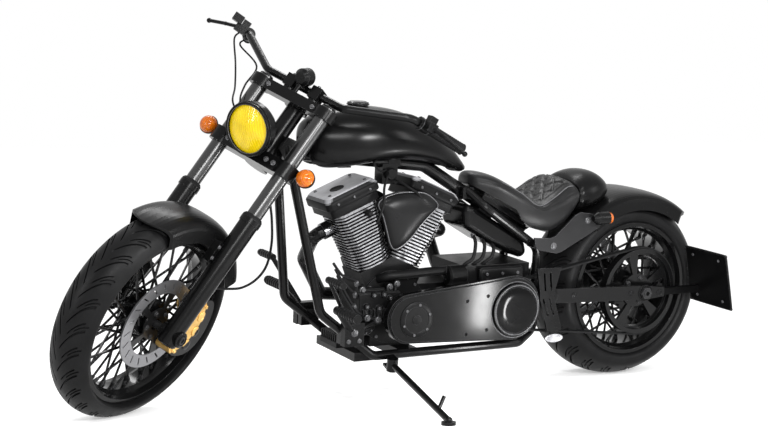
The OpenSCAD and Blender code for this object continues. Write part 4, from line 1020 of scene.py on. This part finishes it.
def cylinder_fittings(dark, steel, soft):
    """Barrels, rocker box bolts, pushrod collars, plug caps and their leads."""
    for side in (1, -1):
        m = CYLINDER_MM[side]
        barrel(side, dark)
        for x in (-66, 66):
            for y in (-62, 40):
                steel.screw(at(m, (x, y, HEAD_TOP + ROCKER_H)), 5.5, 4)
        for x in (-60, 0, 60):
            steel.screw(at(m, (x, FIN_Y, HEAD_TOP + 0.62 * ROCKER_H), LEFT), 4.2, 4)
        for x in (-22, 22):
            for z in (172, HEAD_TOP - 14):
                steel.ring(at(m, (x, -84, z)), 10.5, 2.2, count=28, sides=10)
        plug = at(m, (-side * 26, FIN_Y - 10, HEAD_TOP - 26), LEFT)
        soft.lathe(plug, [(11, 0), (11, 20), (8, 30), (6, 32)], 20)
    for route, r, sides in LEADS:
        soft.tube(UP_MM, route, r, sides)
    dark.lathe(left(938, 26, 737), [(20, 0), (20, 10), (16, 14), (6, 14)], 28)


def oil_fittings(dark, steel, soft):
    """Oil lines under the oil tank and the starter motor behind the rear cylinder."""
    for k, x in enumerate((560, 596, 632)):
        route = [(x, 62, 500 + 14 * k), (x + 4, 84, 486 + 10 * k), (x + 18, 96, 462), (x + 40, 92, 444),
                 (x + 52, 84, 432)]
        soft.tube(UP_MM, route, 6, 10)
        steel.lathe(at(UP_MM, (x, 56, 506 + 14 * k), (0, 0.5, -1)), [(9, 0), (9, 10), (7.5, 14)], 6)
    starter = [(30, 0), (34, 4), (34, 60), (29, 66), (12, 70), (11, 66)]
    dark.lathe(at(UP_MM, (690, 104, 408), AHEAD), starter, 40)
    dark.block(left(560, 116, 410), (170, 46, 22), 6)
    each(steel.screw, [(500, 412), (560, 412), (620, 412)], 138, 5, 4)


def right_side_fittings(steel, trim, gloss):
    """Air cleaner trim and the exhaust's tips and clamps."""
    cleaner = at(UP_MM, (928, -178, 578), RIGHT)
    trim.ring(cleaner, 69, 2.4, count=96)
    gloss.lathe(cleaner, [(66, 0), (66, 2), (60, 5), (30, 7.5), (5, 8)], 72)
    for x, y in around(3, 50, 90):
        steel.screw(cleaner @ move((x, y, 5)), 5, 4)
    for z, out, rise, runs in PIPES:
        trim.ring(at(UP_MM, (PIPE_TIP_X, PIPE_Y, z), AHEAD), 20, 2.4, count=48)
        for run in runs:
            place = (PIPE_TIP_X + run, PIPE_Y + run * out, z + run * rise)
            trim.ring(at(UP_MM, place, AHEAD), 22.5, 2.6, count=48)


def engine_fittings():
    dark, steel, soft, trim, gloss = (Batch() for _ in range(5))
    primary_fittings(dark, steel, trim, gloss)
    crankcase_fittings(dark, steel, soft)
    cylinder_fittings(dark, steel, soft)
    oil_fittings(dark, steel, soft)
    right_side_fittings(steel, trim, gloss)
    dark.build("engine_castings", "cast_black", "engine_black")
    steel.build("engine_bolts", "bolt_steel", "dark_chrome")
    soft.build("engine_leads", "rubber", "grip_rubber")
    trim.build("engine_trim", "trim_grey", "dark_chrome")
    gloss.build("cover_domes", "derby_paint", "gloss_black")


engine_fittings()

# Chassis fittings, in millimetres of the upright frame
ARM_FACE, STRUT_FACE, CHEVRON_FACE, PEG_FACE = 190, 149, 199, 184
AXLE_Z, ARM_RISE = 321, 0.033
STRUT_BOLTS, ARM_BOLTS = [(368, 496), (232, 578)], (-62, 60, 300)
PEG_BOLTS = [
    # x, z, radius, height
    (1130, 262, 8, 8),
    (1112, 236, 5, 6),
    (1150, 236, 5, 6),
]
PEG_RINGS = [
    # x, first y, z, ring radius, thickness, steps round, count
    (1196, 214, 340, 13.2, 3, 32, 7),
    (1236, 222, 440, 10.4, 2.4, 28, 5),
]
PIVOT_CAP = [(30, 0), (30, 4), (26, 6), (14, 6), (12, 3)]
BADGE = [(36, 0), (36, 2), (34, 3.4), (30, 3.6), (28.5, 2.8), (5, 2.8)]
PLATE_MM = UP_MM @ move((-254, 139, 277)) @ turn("Y", 13) @ turn("Z", 90) @ turn("X", 90)
PLATE_W, PLATE_H, PLATE_CORNER = 212, 196, 14
CAP_TEETH, PIPING_STEPS, PIPING_ANGLE = 20, 23, 0.86


def chassis_fittings():
    dark, steel, soft, silver, pipe = (Batch() for _ in range(5))
    for s in (1, -1):
        way = (0, s, 0)
        each(steel.bolt, STRUT_BOLTS, s * STRUT_FACE, 8, 8, way=way)
        for x in ARM_BOLTS:
            dark.bolt(at(UP_MM, (x, s * ARM_FACE, AXLE_Z + x * ARM_RISE), way), 7, 7)
        dark.bolt(at(UP_MM, (-84, s * 179, AXLE_Z), BEHIND), 6, 9)
        dark.ring(at(UP_MM, (0, s * ARM_FACE, AXLE_Z), way), 26, 3)
        dark.lathe(at(UP_MM, (400, s * ARM_FACE, 335), way), PIVOT_CAP, 32)
        for x, y, z, radius, thick, steps, count in PEG_RINGS:
            for k in range(count):
                soft.ring(at(UP_MM, (x, s * (y + 16 * k), z), way), radius, thick, count=steps, sides=10)
        for x, z, r, h in PEG_BOLTS:
            steel.bolt(at(UP_MM, (x, s * PEG_FACE, z), way), r, h)
    # Bare oval badge on a tongue below the chevron cover
    dark.block(left(380, CHEVRON_FACE - 9, 208), (30, 44, 8.5), 1.5)
    oval = left(381, CHEVRON_FACE - 0.5, 193) @ Matrix.Diagonal((1, 0.4, 1, 1))
    silver.lathe(oval, BADGE, 64)
    # Rolled edge and screws of the blank plate
    edge = [(x, y, 2) for x, y in corner_loop((0, 0), (PLATE_W, PLATE_H), PLATE_CORNER, 2)]
    dark.tube(PLATE_MM, edge, 3.6, 10, 4, closed=True)
    for x in (40, PLATE_W - 40):
        for y in (24, PLATE_H - 24):
            steel.screw(at(PLATE_MM, (x, y, 4)), 5, 3)
            steel.screw(at(PLATE_MM, (x, y, 0), BELOW), 5, 3)
    # Filler cap grip
    cap = at(UP_MM, (1051, 0, 958))
    dark.ring(lifted(cap, 2), 34, 2.6)
    for k in range(CAP_TEETH):
        tooth = cap @ turn("Z", 360 / CAP_TEETH * k) @ move((32.4, 0, 2))
        dark.block(tooth, (3.2, 4.6, 6.5), 0.8)
    # Piping along the seat's valley and crest
    for s in (1, -1):
        line = []
        for k in range(PIPING_STEPS):
            row = row_at(SEAT_ROWS, 2.2 + 0.2 * k)
            line.append(section_point(row, pi / 2 - s * PIPING_ANGLE, seat_bed) + Vector((0, 0, 1.2)))
        pipe.tube(UP_MM, line, 2, 10, 3)
    dark.build("chassis_trim", "small_black", "gloss_black")
    steel.build("chassis_bolts", "bolt_steel", "dark_chrome")
    soft.build("peg_rubbers", "rubber", "grip_rubber")
    silver.build("oval_badge", "silver", "dark_chrome", angle=50)
    pipe.build("seat_piping", "piping", "seat_leather")


chassis_fittings()

# Floor, light and camera
CAMERA_AT = Vector((3.4252, 4.51216, 0.87355))
CAMERA_LOOK = Vector((-0.48623, -0.87201, -0.05639))
CAMERA_UP = Vector((-0.02904, -0.04837, 0.99841))
CAMERA_LENS, CAMERA_SENSOR = 73.87, 36
# The camera was fitted with the machine's rear contact as origin, and this shift brings it to the row frame
FITTED_LIFT = Vector((0, 0, 0.000904))
FIT_SHIFT = REAR_AXLE - (TIP @ Vector((0, 0, REAR_R)) + FITTED_LIFT)

camera = add_object("camera", bpy.data.cameras.new("camera"))
camera.data.lens = CAMERA_LENS
camera.data.sensor_width = CAMERA_SENSOR
right = CAMERA_LOOK.cross(CAMERA_UP).normalized()
up = right.cross(CAMERA_LOOK).normalized()
pose = Matrix((right, up, -CAMERA_LOOK.normalized())).transposed().to_4x4()
camera.matrix_world = move(CAMERA_AT + FIT_SHIFT) @ pose
bpy.context.scene.camera = camera

FLOOR_GLOW, FLOOR_TINT, FLOOR_HALF = 0.32, 0.8, 60
WORLD_LIGHT = 0.88


def seen_rays(tree):
    """1 for rays from the camera and for those that mirror or pass through a surface."""
    path = new_node(tree, "LightPath").outputs
    value = path["Is Camera Ray"]
    for name in ("Is Glossy Ray", "Is Transmission Ray"):
        value = new_node(tree, "Math", {0: value, 1: path[name]}, operation="MAXIMUM").outputs[0]
    return value


def emptied(block):
    """The node tree of a new material or world, with no nodes."""
    block.use_nodes = True
    block.node_tree.nodes.clear()
    return block.node_tree


def backdrop():
    """A white floor that glows a little where it is seen."""
    mat = bpy.data.materials.new("floor_white")
    tree = emptied(mat)
    matte = new_node(tree, "BsdfDiffuse", {"Color": (FLOOR_TINT, FLOOR_TINT, FLOOR_TINT, 1)})
    lift = new_node(tree, "Math", {0: seen_rays(tree), 1: FLOOR_GLOW}, operation="MULTIPLY")
    glow = new_node(tree, "Emission", {"Strength": lift.outputs[0]})
    both = new_node(tree, "AddShader", {0: matte.outputs[0], 1: glow.outputs[0]})
    new_node(tree, "OutputMaterial", {"Surface": both.outputs[0]})
    mesh = bpy.data.meshes.new("floor")
    corners = [(x * FLOOR_HALF, y * FLOOR_HALF, 0) for x, y in ((-1, -1), (1, -1), (1, 1), (-1, 1))]
    mesh.from_pydata(corners, [], [(0, 1, 2, 3)])
    mesh.materials.append(mat)
    add_object("floor", mesh)


def studio():
    """A white world, a little weaker as light than as seen."""
    bpy.context.scene.world = bpy.data.worlds.new("studio")
    tree = emptied(bpy.context.scene.world)
    inputs = {0: seen_rays(tree)}
    for socket, strength in ((1, WORLD_LIGHT), (2, 1)):
        shade = new_node(tree, "Background", {"Color": (1, 1, 1, 1), "Strength": strength})
        inputs[socket] = shade.outputs[0]
    mix = new_node(tree, "MixShader", inputs)
    new_node(tree, "OutputWorld", {"Surface": mix.outputs[0]})


LAMPS = [
    # name, place, aim, width, height, watts
    ("key_box", (0.2, 1.9, 2.8), (0.1, 0, 0.5), 1.2, 0.3, 34),
    ("front_strip", (3.3, 0.3, 1.5), (0.6, 0, 0.5), 0.14, 1.6, 26),
    ("rear_strip", (-2.5, 2.3, 1.5), (-0.3, 0.1, 0.4), 0.14, 1.4, 22),
    ("low_kick", (-0.6, 0.68, 0.11), (-0.2, 0.1, 0.28), 0.06, 0.2, 4.6),
    ("tank_box", (-0.45, 2.28, 0.98), (0.2, 0, 0.84), 0.3, 0.3, 50),
    ("side_strip", (0.95, 2.3, 1.25), (0.4, 0, 0.7), 1.2, 0.36, 38),
    ("back_box", (-0.4, -1.2, 2.9), (-0.1, 0, 0.5), 1.8, 0.24, 36),
]


def lamps():
    for name, place, aim, width, height, watts in LAMPS:
        data = bpy.data.lights.new(name, "AREA")
        data.shape = "RECTANGLE"
        data.size, data.size_y, data.energy = width, height, watts
        lamp = add_object(name, data)
        lamp.location = place
        lamp.rotation_mode = "QUATERNION"
        lamp.rotation_quaternion = (Vector(aim) - Vector(place)).to_track_quat("-Z", "Y")


backdrop()
studio()
lamps()
bpy.context.scene.view_settings.view_transform = "Standard"
